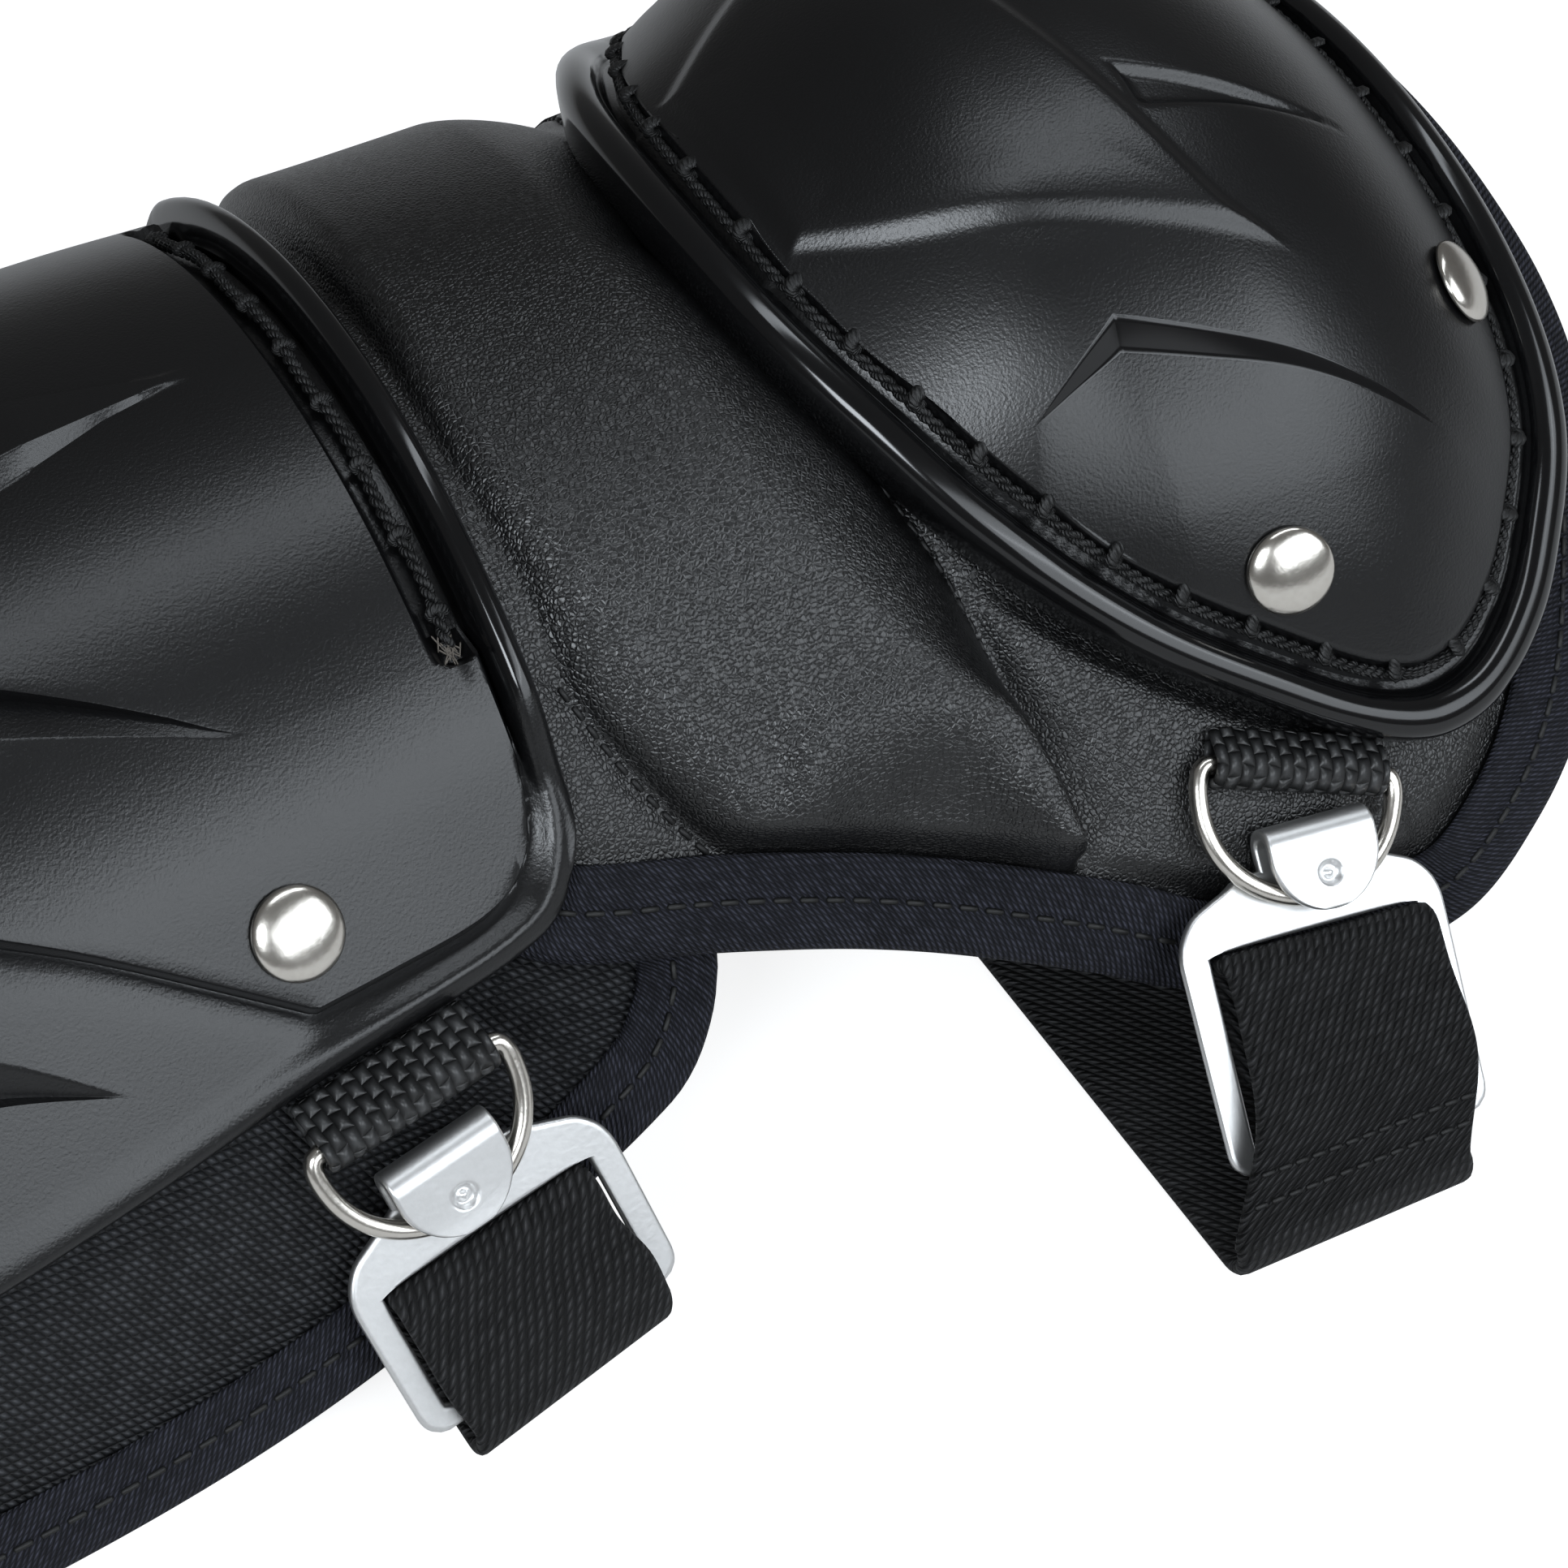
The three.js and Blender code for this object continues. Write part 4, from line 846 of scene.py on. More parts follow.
# %% [markdown]
# Both pads are foam between a face and a lining, sewn flat at the edge where the tape grips
# them. A cloth simulation could blow them up, but the folds of this guard are sewn in place, so
# the relief is written down instead: a flex roll over the knee joint, a second roll under the
# cap, a dent, an arch and a hollow where the wings begin, and valleys along the seams. The roll
# runs straighter over the far side, because its outline lies flat in the photograph.

# %% Lines of the pads
SHIN_PAD = [
    (-263, 60), (-261.5, 78), (-256, 95), (-246, 106), (-230, 113.8), (-200, 120.4), (-150, 126),
    (-110, 127), (-83.2, 125.8), (-61.6, 123.2), (-43.5, 119.2), (-19.7, 111.6), (1.7, 102),
    (8.1, 95.7), (11.7, 88.4), (12.5, 78),
]
KNEE_PAD = [
    (-18, 70), (-12, 76.6), (-5.2, 80.8), (12, 85.8), (29, 91.8), (42.5, 97.9), (57.2, 106.4),
    (70, 114.6), (88, 119.9), (108, 118.5), (121, 109), (134.5, 92.5), (143, 76.5),
    (149, 62), (152.4, 48), (153.6, 36),
]
EDGE_FACE = -0.55
EDGE_LINING = -2.05
SHIN_END = (-263, 0)
KNEE_END = (153.6, 0)
ROLL_LOW = [
    (0, 3.4), (15, 3.2), (28, 4), (39, 4.6), (49, 4.8), (56, 6), (63, 9), (70.5, 12.5), (77, 16),
    (130, 30),
]
ROLL_LEFT = [(0, 8.2), (15, 8), (28, 9.4), (41, 12), (53, 16), (62, 20.5), (80, 25), (130, 36)]
ROLL_RIGHT = [
    (0, 31.5), (20, 32.5), (30, 33.5), (40, 35), (48, 37.4), (54, 40.5), (60, 44.2), (64, 47.2), (68, 50),
    (72, 52.6), (80, 54.3), (90, 55.2), (130, 58),
]
ROLL_TOP = [
    (0, 41), (24, 46), (37, 50.5), (45.5, 52.5), (54.5, 54.6), (65.5, 56.2), (76.5, 57.2), (90, 57.8),
    (130, 60),
]
SHOULDER_LINE = [
    (0, 58), (9, 63), (15, 66), (22, 63), (30, 62.5), (39, 64), (46, 68), (51, 75), (54, 82), (60, 88),
    (160, 95),
]
DENT = [(23.6, 62), (22.8, 70), (23.6, 79)]
ARCH = [(26, 74), (28.5, 68.5), (33, 65.5), (40, 65.5), (46, 68.3), (50.5, 73), (52.5, 80), (54, 90)]
CAP_LOW = [(0, 40.8), (24, 43.9), (36, 48.5), (52, 56.6), (71.3, 71.2), (86, 88.4), (93, 101), (130, 106)]
SEAM_LONG = [
    (50.5, 37), (52.5, 45.5), (54.6, 54.5), (56.2, 65.5), (57.2, 76.5), (57.8, 89.5), (58.3, 98),
]
SEAM_SHORT = [(3.5, 50), (5.5, 56), (8, 63), (11.5, 70.5), (15, 76.8), (16.5, 79.5)]


def pad_heights(x, arc, rows, outer, inner):
    """Face and lining of a pad: full inside, and a thin flat edge where the tape grips."""
    far = apart(x, arc, rows)
    face = EDGE_FACE + (outer - EDGE_FACE) * ease((far - 9.5) / 4.5)
    return face, EDGE_LINING + (inner - EDGE_LINING) * ease((far - 10) / 5)


def shin_level(x, arc):
    """How far the shin pad sinks where the leather tongue lies on it."""
    return -5.5 * ease((x + 27) / 8) * (1 - 0.6 * np.clip((np.abs(arc) - 92) / 12, 0, 1))


def knee_level(x, arc):
    """How far the leather tongue sinks under the lip of the shin plate."""
    return -0.8 * ease((2 - x) / 8)


def knee_relief(x, arc):
    """Swell of the leather: the flex roll, the second roll, folds, and valleys at the seams."""
    far = np.abs(arc)
    plan = np.where(arc > 0, 40 * np.tanh(far / 40), far)
    low = smooth(ROLL_LOW, plan)
    left = smooth(ROLL_LEFT, plan)
    right_side = smooth(ROLL_RIGHT, plan)
    top = smooth(ROLL_TOP, plan)
    brim = smooth(CAP_LOW, far)
    drop = ease((far - smooth(SHOULDER_LINE, x) - 5) / 22)
    tall = 5.2 + 1.4 * ease((far - 20) / 42) + 1.6 * ease((-arc - 54) / 20)
    tall = tall + 0.12 * (np.clip(x, 0, 60) - 26) * ease(0.5 - arc / 40)
    tall = tall - (tall - 3.2) * drop
    rise = np.clip((x - low) / (left - low), 0, 1)
    fall = np.clip((x - right_side) / (top - right_side), 0, 1)
    h = tall * (1 - (1 - rise) ** 2.2) ** 0.8 * (1 - fall ** 1.5) ** 0.9
    t = np.clip((x - top) / np.maximum(brim - 1 - top, 1), 0, 1)
    h = h + 1.5 * ease((brim - top - 2) / 9) * ease(t / 0.45) * ease((brim - 0.5 - x) / 3.5)
    h = h - 0.7 * np.exp(-(apart(x, arc, DENT) / 3.2) ** 2)
    h = h + 1.15 * np.exp(-(apart(x, arc, ARCH) / 4.0) ** 2)
    h = h - 1.1 * np.exp(-((x - 42) / 6) ** 2 - ((far - 77) / 7) ** 2)
    h = h - 0.55 * np.exp(-(apart(x, arc, SEAM_LONG) / 1.6) ** 2)
    h = h - 0.6 * np.exp(-(apart(x, arc, SEAM_SHORT) / 1.4) ** 2)
    ripple = np.sin(x / 4.1 + far / 7.3) * np.sin(far / 5.2 - x / 8.7)
    return h + 0.18 * ripple * ease((far - 46) / 20)


def knee_face(x, arc):
    """The leather's face with its edge let down to the tape."""
    return pad_heights(x, arc, KNEE_PAD + [KNEE_END], knee_relief(x, arc), 0 * x)[0]


print("flex roll stands", knee_relief(np.array([20.0]), np.array([0.0])).round(2), "mm up")

# %% [markdown]
# A pad is one sheet between its two outlines. The columns lie closer together towards the edges,
# where the face bends most.

# %% Pads
def pad(name, slot, node, rows, end, columns, x, level, face, lining):
    """A pad on an even grid between its outlines; border points lie inside the folded tape."""
    share = np.sin(np.linspace(-1, 1, columns) * np.pi / 2 * 0.9) / np.sin(np.pi / 2 * 0.9)
    arc = smooth(rows, x)[:, None] * share[None, :]
    spread_x = np.broadcast_to(x[:, None], arc.shape)
    line = [end] + list(rows) if end[0] < -100 else list(rows) + [end]
    outer, inner = pad_heights(spread_x, arc, line, face(spread_x, arc), lining(spread_x, arc))
    lift = level(spread_x, arc)
    pattern = np.stack([spread_x, arc], -1)
    made = piece(name, slot, [sheet(place(spread_x, arc, lift + outer), place(spread_x, arc, lift + inner),
                                    pattern)], node)
    return made


def knee_lining(x, arc):
    """Underside of the knee pad: thin over the tongue, full from the flex roll on."""
    start = np.maximum(15.5, smooth(ROLL_LOW, np.abs(arc)) + 1.5)
    return -3.2 - 5.8 * ease((x - start) / 5)


shin_x = np.concatenate([np.arange(-263, -30, 1.9), np.arange(-30, 12.5, 1.2), [12.5]])
pad("shin_pad_knit", "knit", "shin_pad", SHIN_PAD, SHIN_END, 181, shin_x, shin_level,
    lambda x, arc: -0.5 + 0 * x, lambda x, arc: -7.0 + 0 * x)
knee_x = np.concatenate([np.arange(-18, 0, 1.5), np.arange(0, 62, 0.8), np.arange(62, 149.6, 1.35),
                         150 + 3.6 * np.sin(np.linspace(0, np.pi / 2, 10))])
pad("knee_pad_hide", "hide", "knee_pad", KNEE_PAD, KNEE_END, 221, knee_x, knee_level,
    knee_relief, knee_lining)

# %% [markdown]
# The tape is one folded profile carried round each pad. A real binding is never quite even, so
# the profile swells a little between stitches. Its pattern coordinates are the length along the
# tape and the way across it, which lets the weave follow every bend.

# %% Bindings
STITCH_PITCH = 3.4
SEWN_IN = 4.2
FOLD = [
    # outward from the pad's edge, height
    (-9.0, 0.2), (-8.7, 0.62), (-8.0, 0.78), (-6.0, 0.85), (-4.2, 0.62), (-2.6, 0.85), (-1.0, 0.88),
    (0.3, 0.75), (1.2, 0.35), (1.75, -0.35), (2.0, -1.2), (2.05, -2.0), (1.85, -2.9), (1.4, -3.6),
    (0.6, -4.0), (-0.6, -4.2), (-4.2, -4.25), (-8.4, -4.3), (-8.9, -3.9), (-8.8, -3.2), (-4.0, -3.1),
    (0.6, -3.05), (0.95, -1.75), (0.6, -0.45), (-4.0, -0.4), (-8.6, -0.4),
]


def tape_path(rows, end, count):
    """Even points along one side, across the end, and back along the other side."""
    side = list(rows) if end[0] > 0 else list(rows)[::-1]
    wide = side[-1][1]
    across = [(end[0], wide * k) for k in (0.66, 0.33, 0, -0.33, -0.66)]
    return drawn(side + across + [(x, -a) for x, a in side[::-1]], count)


def tape_frame(path):
    """Outward direction in the flat pattern at each point of the path."""
    step = unit(np.gradient(path, axis=0))
    out = np.stack([step[:, 1], -step[:, 0]], 1)
    return out * np.sign((out * (path - path.mean(0))).sum())


def binding(name, node, rows, end, level, count, wide):
    """The folded profile carried along a pad's edge."""
    path = tape_path(rows, end, count)
    out = tape_frame(path)
    run = lengths(path)
    fold = np.array(FOLD)
    fold[:, 0] -= np.where((fold[:, 0] < -5) & (fold[:, 1] > -2), wide, 0)
    waves = np.sin(run * 2 * np.pi / STITCH_PITCH)[:, None]
    swell = 1 + 0.10 * waves * np.exp(-((fold[:, 0] + SEWN_IN) / 2.2) ** 2)[None, :]
    flat = path[:, None, :] + out[:, None, :] * fold[None, :, :1]
    high = fold[None, :, 1] * np.where(fold[None, :, 1] > 0, swell, 1)
    grid = place(flat[..., 0], flat[..., 1], high + level(flat[..., 0], flat[..., 1]))
    ring = lengths(np.vstack([fold, fold[:1]]))
    pattern = pairs(run[:, None], ring[None, :])
    piece(name, "tape", [band(grid, pattern)], node)
    return path, out, run


knee_tape = binding("knee_binding_tape", "knee_binding", KNEE_PAD, KNEE_END, knee_level, 420, 1.0)
shin_tape = binding("shin_binding_tape", "shin_binding", SHIN_PAD, SHIN_END, shin_level, 460, 0.0)
print("tape lengths in mm", round(knee_tape[2][-1]), round(shin_tape[2][-1]))

# %% [markdown]
# Rivets are turned shapes: one profile swung round an axis that stands square on the plate.

# %% Rivets
def on_plate(x, arc):
    """Point of the shin plate's face."""
    return place(x, arc, plate_height(x, arc))


def rivet(name, node, surface, x, arc):
    """A domed head: rings of a flattened half circle, with a thin rolled rim."""
    seat, normal = squared(surface, np.array(x), np.array(arc))
    side = np.cross(normal, (1.0, 0.2, 0.0))
    side = side / np.linalg.norm(side)
    other = np.cross(normal, side)
    a = np.linspace(0, np.pi / 2, 15)[1:]
    r = np.concatenate([5.6 * np.sin(a), [5.65, 5.5, 2.0]])
    h = np.concatenate([0.45 + 1.75 * np.cos(a) ** 1.15, [0.2, 0.0, 0.0]])
    turn = np.linspace(0, 2 * np.pi, 49)
    swing = np.cos(turn)[:, None] * side + np.sin(turn)[:, None] * other
    grid = seat + 0.001 * (r[:, None, None] * swing[None, :-1] + (h + 0.25)[:, None, None] * normal)
    pattern = pairs(turn[None, :] * 5, r[:, None])
    made = band(grid, pattern)
    return piece(name, "nickel", [made], node)


RIVETS = [
    ("knee_rivet", on_cap, [(92.3, -68.8), (132.8, -41.0), (92.3, 68.8), (132.8, 41.0)]),
    ("shin_rivet", on_plate, [(-37.6, -66.0), (-37.6, 66.0)]),
]
for kind, surface, spots in RIVETS:
    for number, (x, arc) in enumerate(spots, 1):
        rivet(f"{kind}_head_{number}", f"{kind}_{number}", surface, x, arc)

# %% [markdown]
# Each clip set hangs in a small frame of its own: across, along and out from the seat of the
# ring's bar. A ribbon is a flat band with rounded edges between a left and a right line, and both
# the webbing tab and the elastic strap are ribbons.

# %% Ribbon
def ribbon(left, right, left_up, right_up, thick, columns):
    """Flat band with rounded edges between two lines, thick along the given directions."""
    w = np.sin(np.linspace(-1, 1, columns) * np.pi / 2)
    half = np.linalg.norm(right - left, axis=1).mean() / 2
    room = np.clip((1 - np.abs(w)) * half / (thick * 0.5), 0, 1)
    full = thick / 2 * np.sqrt(1 - (1 - room) ** 2)
    share = np.concatenate([w, w[-2:0:-1]])
    high = np.concatenate([full, -full[-2:0:-1]])
    t = (share + 1)[None, :, None] / 2
    grid = left[:, None] * (1 - t) + right[:, None] * t
    up = left_up[:, None] * (1 - t) + right_up[:, None] * t
    grid = metres(grid + up * high[None, :, None])
    middle = (left + right) / 2
    run = lengths(middle)
    pattern = pairs(np.append(share, share[0])[None, :] * half, run[:, None])
    return band(grid, pattern)


def bow(along, out, radius, start, stop, count):
    """Points of an arc in the plane of along and out, angles in degrees."""
    turn = np.radians(np.linspace(start, stop, count + 1))
    return np.stack([along + radius * np.cos(turn), out + radius * np.sin(turn)], 1)


def uprights(path):
    """Unit directions square to a path in its plane, on its left side."""
    ahead = path[np.minimum(np.arange(len(path)) + 1, len(path) - 1)]
    behind = path[np.maximum(np.arange(len(path)) - 1, 0)]
    step = unit(ahead - behind)
    return np.stack([-step[:, 1], step[:, 0]], 1)


def clip_frame(clip, degrees):
    """Seat and the across, along and out directions of a clip turned by some degrees."""
    slope = math.radians(clip["slope"])
    t = math.radians(degrees)
    down = np.array([0, -math.cos(slope), -math.sin(slope)])
    out = np.array([0, -math.sin(slope), math.cos(slope)])
    seat = np.array(clip["seat"]) + out * clip["lift"]
    across = np.array([math.cos(t), 0, 0]) + down * math.sin(t)
    along = np.array([-math.sin(t), 0, 0]) + down * math.cos(t)
    return seat, across, along, out


def in_clip(axes, w, d, n):
    """Point from its way across, along and out."""
    seat, across, along, out = axes
    w, d, n = (np.asarray(v, float)[..., None] for v in (w, d, n))
    return seat + w * across + d * along + n * out


CLIPS = [
    {"name": "knee", "seat": (87.5, -79, 38), "lift": 1.1, "slope": 43.8, "turn": 8, "ring": 24,
     "tab": 4.4, "level": -2.3, "sewn": 36, "far": 92, "rows": KNEE_PAD, "hook": (-2.0, 47),
     "strap": (-0.8, 14.9), "bulge": (-2.4, 2.2),
     "fold": ((55.8, -118.8, 1.12), (89.2, -120.4, 1.12))},
    {"name": "shin", "seat": (-32.5, -73.3, 42.3), "lift": 2, "slope": 57, "turn": -11, "ring": -10,
     "tab": 4.9, "level": -4.9, "sewn": 30, "far": 97, "rows": SHIN_PAD, "hook": (1.2, 38.5),
     "strap": (0.9, 14.1), "bulge": (0.4, 0.6),
     "fold": ((-37.2, -98.3, 4.2), (-9.2, -94.6, 9.6))},
]
print("clip sets", [c["name"] for c in CLIPS])

# %% [markdown]
# The tab is a strip of webbing folded round the straight bar of its ring. The ring is round wire
# bent to a D, so its section is a circle carried round a closed path.

# %% Webbing tabs and rings
WIRE = 1.2
HALF_TAB = 11.75
TAB_THICK = 1.3


def tab(clip):
    """Webbing folded round the ring's bar: up from the pad, round the wire, back on itself."""
    axes = clip_frame(clip, clip["ring"])
    loop = 2.15
    top = clip["level"] + 1.42

    def meets(n, sense):
        """Angle at which a straight run from level n touches the loop."""
        turn = math.atan2(n, -clip["tab"]) + sense * math.acos(loop / math.hypot(n, clip["tab"]))
        return 360 + math.degrees(turn)

    arc = bow(0, 0, loop, meets(clip["level"], 1) - 360, meets(top, -1), 40)
    first = np.array([-clip["tab"], clip["level"]])
    last = np.array([-clip["tab"], top])
    lead = np.linspace(0, 1, 9)[:-1, None]
    path = np.concatenate([first + (arc[0] - first) * lead, arc, last + (arc[-1] - last) * lead[::-1]])
    up = uprights(path)
    edges = [in_clip(axes, s * HALF_TAB, path[:, 0], path[:, 1]) for s in (-1, 1)]
    lift = up[:, :1] * axes[2] + up[:, 1:] * axes[3]
    patch = ribbon(edges[0], edges[1], lift, lift, TAB_THICK, 19)
    piece(f"webbing_{clip['name']}_tab", "webbing", [patch], f"webbing_{clip['name']}")


def ring(clip):
    """Round wire bent to a D: a straight bar, two small corners and a half round bow."""
    axes = clip_frame(clip, clip["ring"])
    turn = np.linspace(0, np.pi, 25)
    curve = np.stack([13.3 * np.cos(turn), 2.2 + 13.4 * np.sin(turn) ** 0.92], 1)
    bar = [(-12.95, 0.7), (-12.2, 0.05), (-9, 0), (-4.5, 0), (0, 0)]
    bar = bar + [(-x, d) for x, d in bar[-2::-1]]
    path = drawn(np.concatenate([curve, bar]), 160, loop=True)
    step = unit(np.roll(path, -1, 0) - np.roll(path, 1, 0))
    a = np.linspace(0, 2 * np.pi, 21)
    side = WIRE * np.cos(a)[None, :-1]
    w = path[:, :1] + step[:, 1:] * side
    d = path[:, 1:] - step[:, :1] * side
    n = np.broadcast_to(WIRE * np.sin(a)[None, :-1], w.shape)
    grid = metres(in_clip(axes, w, d, n))
    run = np.arange(161)[:, None] * 0.6
    pattern = pairs(run, a[None, :])
    wire = band(grid, pattern, loop=True)
    piece(f"d_ring_{clip['name']}_wire", "nickel", [wire], f"d_ring_{clip['name']}")


for clip in CLIPS:
    tab(clip)
    ring(clip)

# %% [markdown]
# The hook is pressed from sheet metal: a slotted plate and a tongue that folds back over the
# ring. The plate is a rounded profile carried round its own slot, between an outer and an inner
# outline. The tongue is a sheet with a half round end and a punched dimple.

# %% Hooks
LEVEL = -2.15
HALF_FOOT = 18.2
FOOT_ROUND = 3.0
HALF_SLOT = 14.6
SLOT_TOP = 19.5
FOOT_BAR = 2.5
HALF_TONGUE = 7.5
DIMPLE_AT = 13.1
SHOULDER = [
    (-18.5, 22.0), (-18.45, 19.4), (-17.7, 16.9), (-15.8, 14.6), (-13.2, 13.3), (-10.8, 12.3),
    (-8.6, 11.2),
]


def slotted(top, right):
    """A closed outline: a given top, a straight side down to each lower corner, and a foot."""
    left = right * (-1, 1)
    leg = np.linspace(0, 1, 26)[1:-1, None]
    foot = np.linspace(0, 1, 30)[1:-1, None]
    return np.concatenate([top, top[-1] + (right - top[-1]) * leg, right + (left - right) * foot,
                           left + (top[0] - left) * leg])


def hook_plate(axes, shift, foot_at):
    """A pressed edge profile carried round the slot from matching outer and inner outlines."""
    crown = drawn(SHOULDER + [(0, 10.9)] + [(-x, d) for x, d in SHOULDER[::-1]], 60)
    outer = slotted(crown, np.array((HALF_FOOT, foot_at)))
    inset = HALF_FOOT - FOOT_ROUND
    middle = np.stack([np.sign(outer[:, 0]) * inset, np.full(len(outer), foot_at - FOOT_ROUND)], 1)
    away = outer - middle
    at_corner = (np.abs(outer[:, 0]) > inset) & (away[:, 1] > 0)
    rounded = middle + away * FOOT_ROUND / np.linalg.norm(away, axis=1)[:, None]
    outer = np.where(at_corner[:, None], rounded, outer)
    top = np.stack([np.linspace(-HALF_SLOT, HALF_SLOT, 60), np.full(60, SLOT_TOP)], 1)
    inner = slotted(top, np.array((HALF_SLOT, foot_at - FOOT_BAR)))
    across = unit(outer - inner)
    turn = np.linspace(-np.pi / 2, np.pi / 2, 7)
    tip = np.stack([0.5 * np.cos(turn) - 0.5, 0.7 * np.sin(turn)], 1)
    tip = np.concatenate([[(-0.85, -0.7)], tip, [(-0.85, 0.7)]])
    flat = np.concatenate([outer[:, None] + across[:, None] * tip[None, :, :1],
                           inner[:, None] - across[:, None] * tip[None, ::-1, :1]], 1)
    high = np.concatenate([tip[:, 1], tip[::-1, 1]])[None, :] + LEVEL
    high = np.broadcast_to(high, flat.shape[:2])
    grid = metres(in_clip(axes, flat[..., 0] + shift, flat[..., 1], high))
    closed = np.concatenate([flat, flat[:, :1]], 1)
    pattern = np.concatenate([closed, closed[:1]], 0)
    return band(grid, pattern, loop=True)


def hook_tongue(axes):
    """A folded tongue: along its path it keeps its width, then rounds off to half a circle."""
    back_run = [(12.3, 2.0), (15.1, 1.9), (17.6, 1.9)]
    path = drawn(np.concatenate([[(13.5, LEVEL)], bow(8.7, 0, 2.15, 270, 90, 24), back_run]), 150)
    end = path[-1, 0] - path[:, 0]
    back = np.arange(len(path)) > 80
    bow_half = np.sqrt(np.maximum(HALF_TONGUE**2 - (HALF_TONGUE - end) ** 2, 0.02))
    half = np.where(back & (end < HALF_TONGUE), bow_half, HALF_TONGUE)
    w = np.linspace(-1, 1, 71)
    w = w * (1.35 - 0.35 * w * w)
    wide = half[:, None] * w[None, :]
    up = uprights(path)
    room = np.clip((1 - np.abs(w))[None, :] * half[:, None] / 0.5, 0, 1)
    ends = np.clip(np.minimum(np.arange(150), 149 - np.arange(150))[:, None] / 3.0, 0, 1)
    full = 0.68 * np.sqrt(1 - (1 - np.minimum(room, ends)) ** 2)
    away = np.hypot(wide, path[:, :1] - DIMPLE_AT)
    pit = 0.75 * ease((1.75 - away) / 0.7) - 0.55 * ease((0.8 - away) / 0.55)
    pit = np.where(back[:, None], pit, 0)
    sides = []
    for high in (full - pit, -full - pit * 0.6):
        d = path[:, :1] + up[:, :1] * high
        n = path[:, 1:] + up[:, 1:] * high
        sides.append(metres(in_clip(axes, wide, d, n)))
    sides[1][0], sides[1][-1] = sides[0][0], sides[0][-1]
    pattern = pairs(wide, np.arange(150)[:, None] * 0.25)
    return sheet(sides[0], sides[1], pattern)


for clip in CLIPS:
    axes = clip_frame(clip, clip["turn"])
    piece(f"hook_{clip['name']}_plate", "pressed", [hook_plate(axes, *clip["hook"]), hook_tongue(axes)],
          f"hook_{clip['name']}", crease=50)

# %% [markdown]
# An elastic strap starts at its sewn end, goes through the hook's slot, down to a fold on the
# floor, under the leg and up the far side. Its two edges are worked out separately, because the
# strap turns a little where it meets the floor.

# %% Straps
STRAP_THICK = 2.2
LIES_AT = 1.12
FOLD_ROUND = 3
TURN_ROUND = 5
HALF_FAR = 15.5
FAR_SEAT = [(-3, 3.2), (1, 3.2), (5.5, 3.1), (10.5, 2.9), (14, 2.1), (17, 1.9), (20, 1.9)]


def strap_edge(clip, side):
    """One edge of a strap with the strap's own upright direction, from sewn end to far end."""
    axes = clip_frame(clip, clip["turn"])
    slope = math.radians(clip["slope"])
    c, s = math.cos(slope), math.sin(slope)
    top, under = LEVEL + 2.1, LEVEL - 2.1
    w = clip["strap"][0] + side * clip["strap"][1]
    path = np.concatenate([[(clip["sewn"], under), (26.5, under)], bow(23.05, LEVEL, 2.1, 270, 90, 10),
                           [(27.5, top + 0.35)]])
    up = uprights(path)
    near = in_clip(axes, np.full(len(path), w), path[:, 0], path[:, 1])
    near_up = up[:, :1] * axes[2] + up[:, 1:] * axes[3]
    fold_x, fold_y, fold_low = clip["fold"][(side + 1) // 2]
    centre = fold_y + FOLD_ROUND
    fold_z = fold_low + FOLD_ROUND
    a = np.linspace(math.atan2(c, -s), 1.5 * np.pi, 9)
    yz = [np.stack([centre + FOLD_ROUND * np.cos(a), fold_z + FOLD_ROUND * np.sin(a)], 1)]
    x = axes[0][0] - 45 * math.tan(math.radians(clip["turn"])) + side * HALF_FAR
    brim = smooth(clip["rows"], x) + 3
    hang = place(x, brim, 3.2) * 1000 - SHIFT
    turn_z = LIES_AT + TURN_ROUND
    rest = hang[2] - turn_z - TURN_ROUND * math.cos(LOWEST)
    bend_y = hang[1] + rest / math.tan(LOWEST) - TURN_ROUND * math.sin(LOWEST)
    t = np.linspace(0, 1, 7)[1:, None]
    yz.append(np.array([(centre, fold_low)]) + np.array([(bend_y - centre, LIES_AT - fold_low)]) * t)
    a = np.linspace(-np.pi / 2, np.pi / 2 - LOWEST, 7)[1:]
    yz.append(np.stack([bend_y + TURN_ROUND * np.cos(a), turn_z + TURN_ROUND * np.sin(a)], 1))
    for inside, height in FAR_SEAT:
        share = max(inside - 14, 0) / 6
        edge = brim - 3 - min(inside, 14)
        yz.append((place(x, edge + (clip["far"] - edge) * share, height) * 1000 - SHIFT)[None, 1:])
    yz = np.concatenate(yz)
    turn_up = uprights(yz)
    along_x = np.interp(np.arange(len(yz)), [0, 12, 16], [fold_x, fold_x, x])
    run = np.column_stack([along_x, yz])
    run_up = np.column_stack([np.zeros(len(yz)), -turn_up])
    belly = (near[-1] + run[0]) / 2 + side * clip["bulge"][(side + 1) // 2] * axes[1] + 0.7 * axes[3]
    run = np.concatenate([belly[None], run])
    run_up = np.concatenate([((near_up[-1] + run_up[0]) / 2)[None], run_up])
    return np.concatenate([near, run]), np.concatenate([near_up, run_up])


STRAPS = {}
for clip in CLIPS:
    (left, left_up), (right_edge, right_up) = strap_edge(clip, -1), strap_edge(clip, 1)
    rows = drawn(np.column_stack([(left + right_edge) / 2, left, right_edge, left_up, right_up]), 420)
    STRAPS[clip["name"]] = rows
    patch = ribbon(rows[:, 3:6], rows[:, 6:9], rows[:, 9:12], rows[:, 12:15], STRAP_THICK, 25)
    piece(f"strap_{clip['name']}_elastic", "elastic", [patch], f"strap_{clip['name']}")

# %% [markdown]
# Lacing holds the plates to the padding. It is a waxed cord of two strands laid in each groove,
# with a small loop every ten millimetres where it dives through the plate. A strand is a tube
# whose middle circles round the cord's own line.

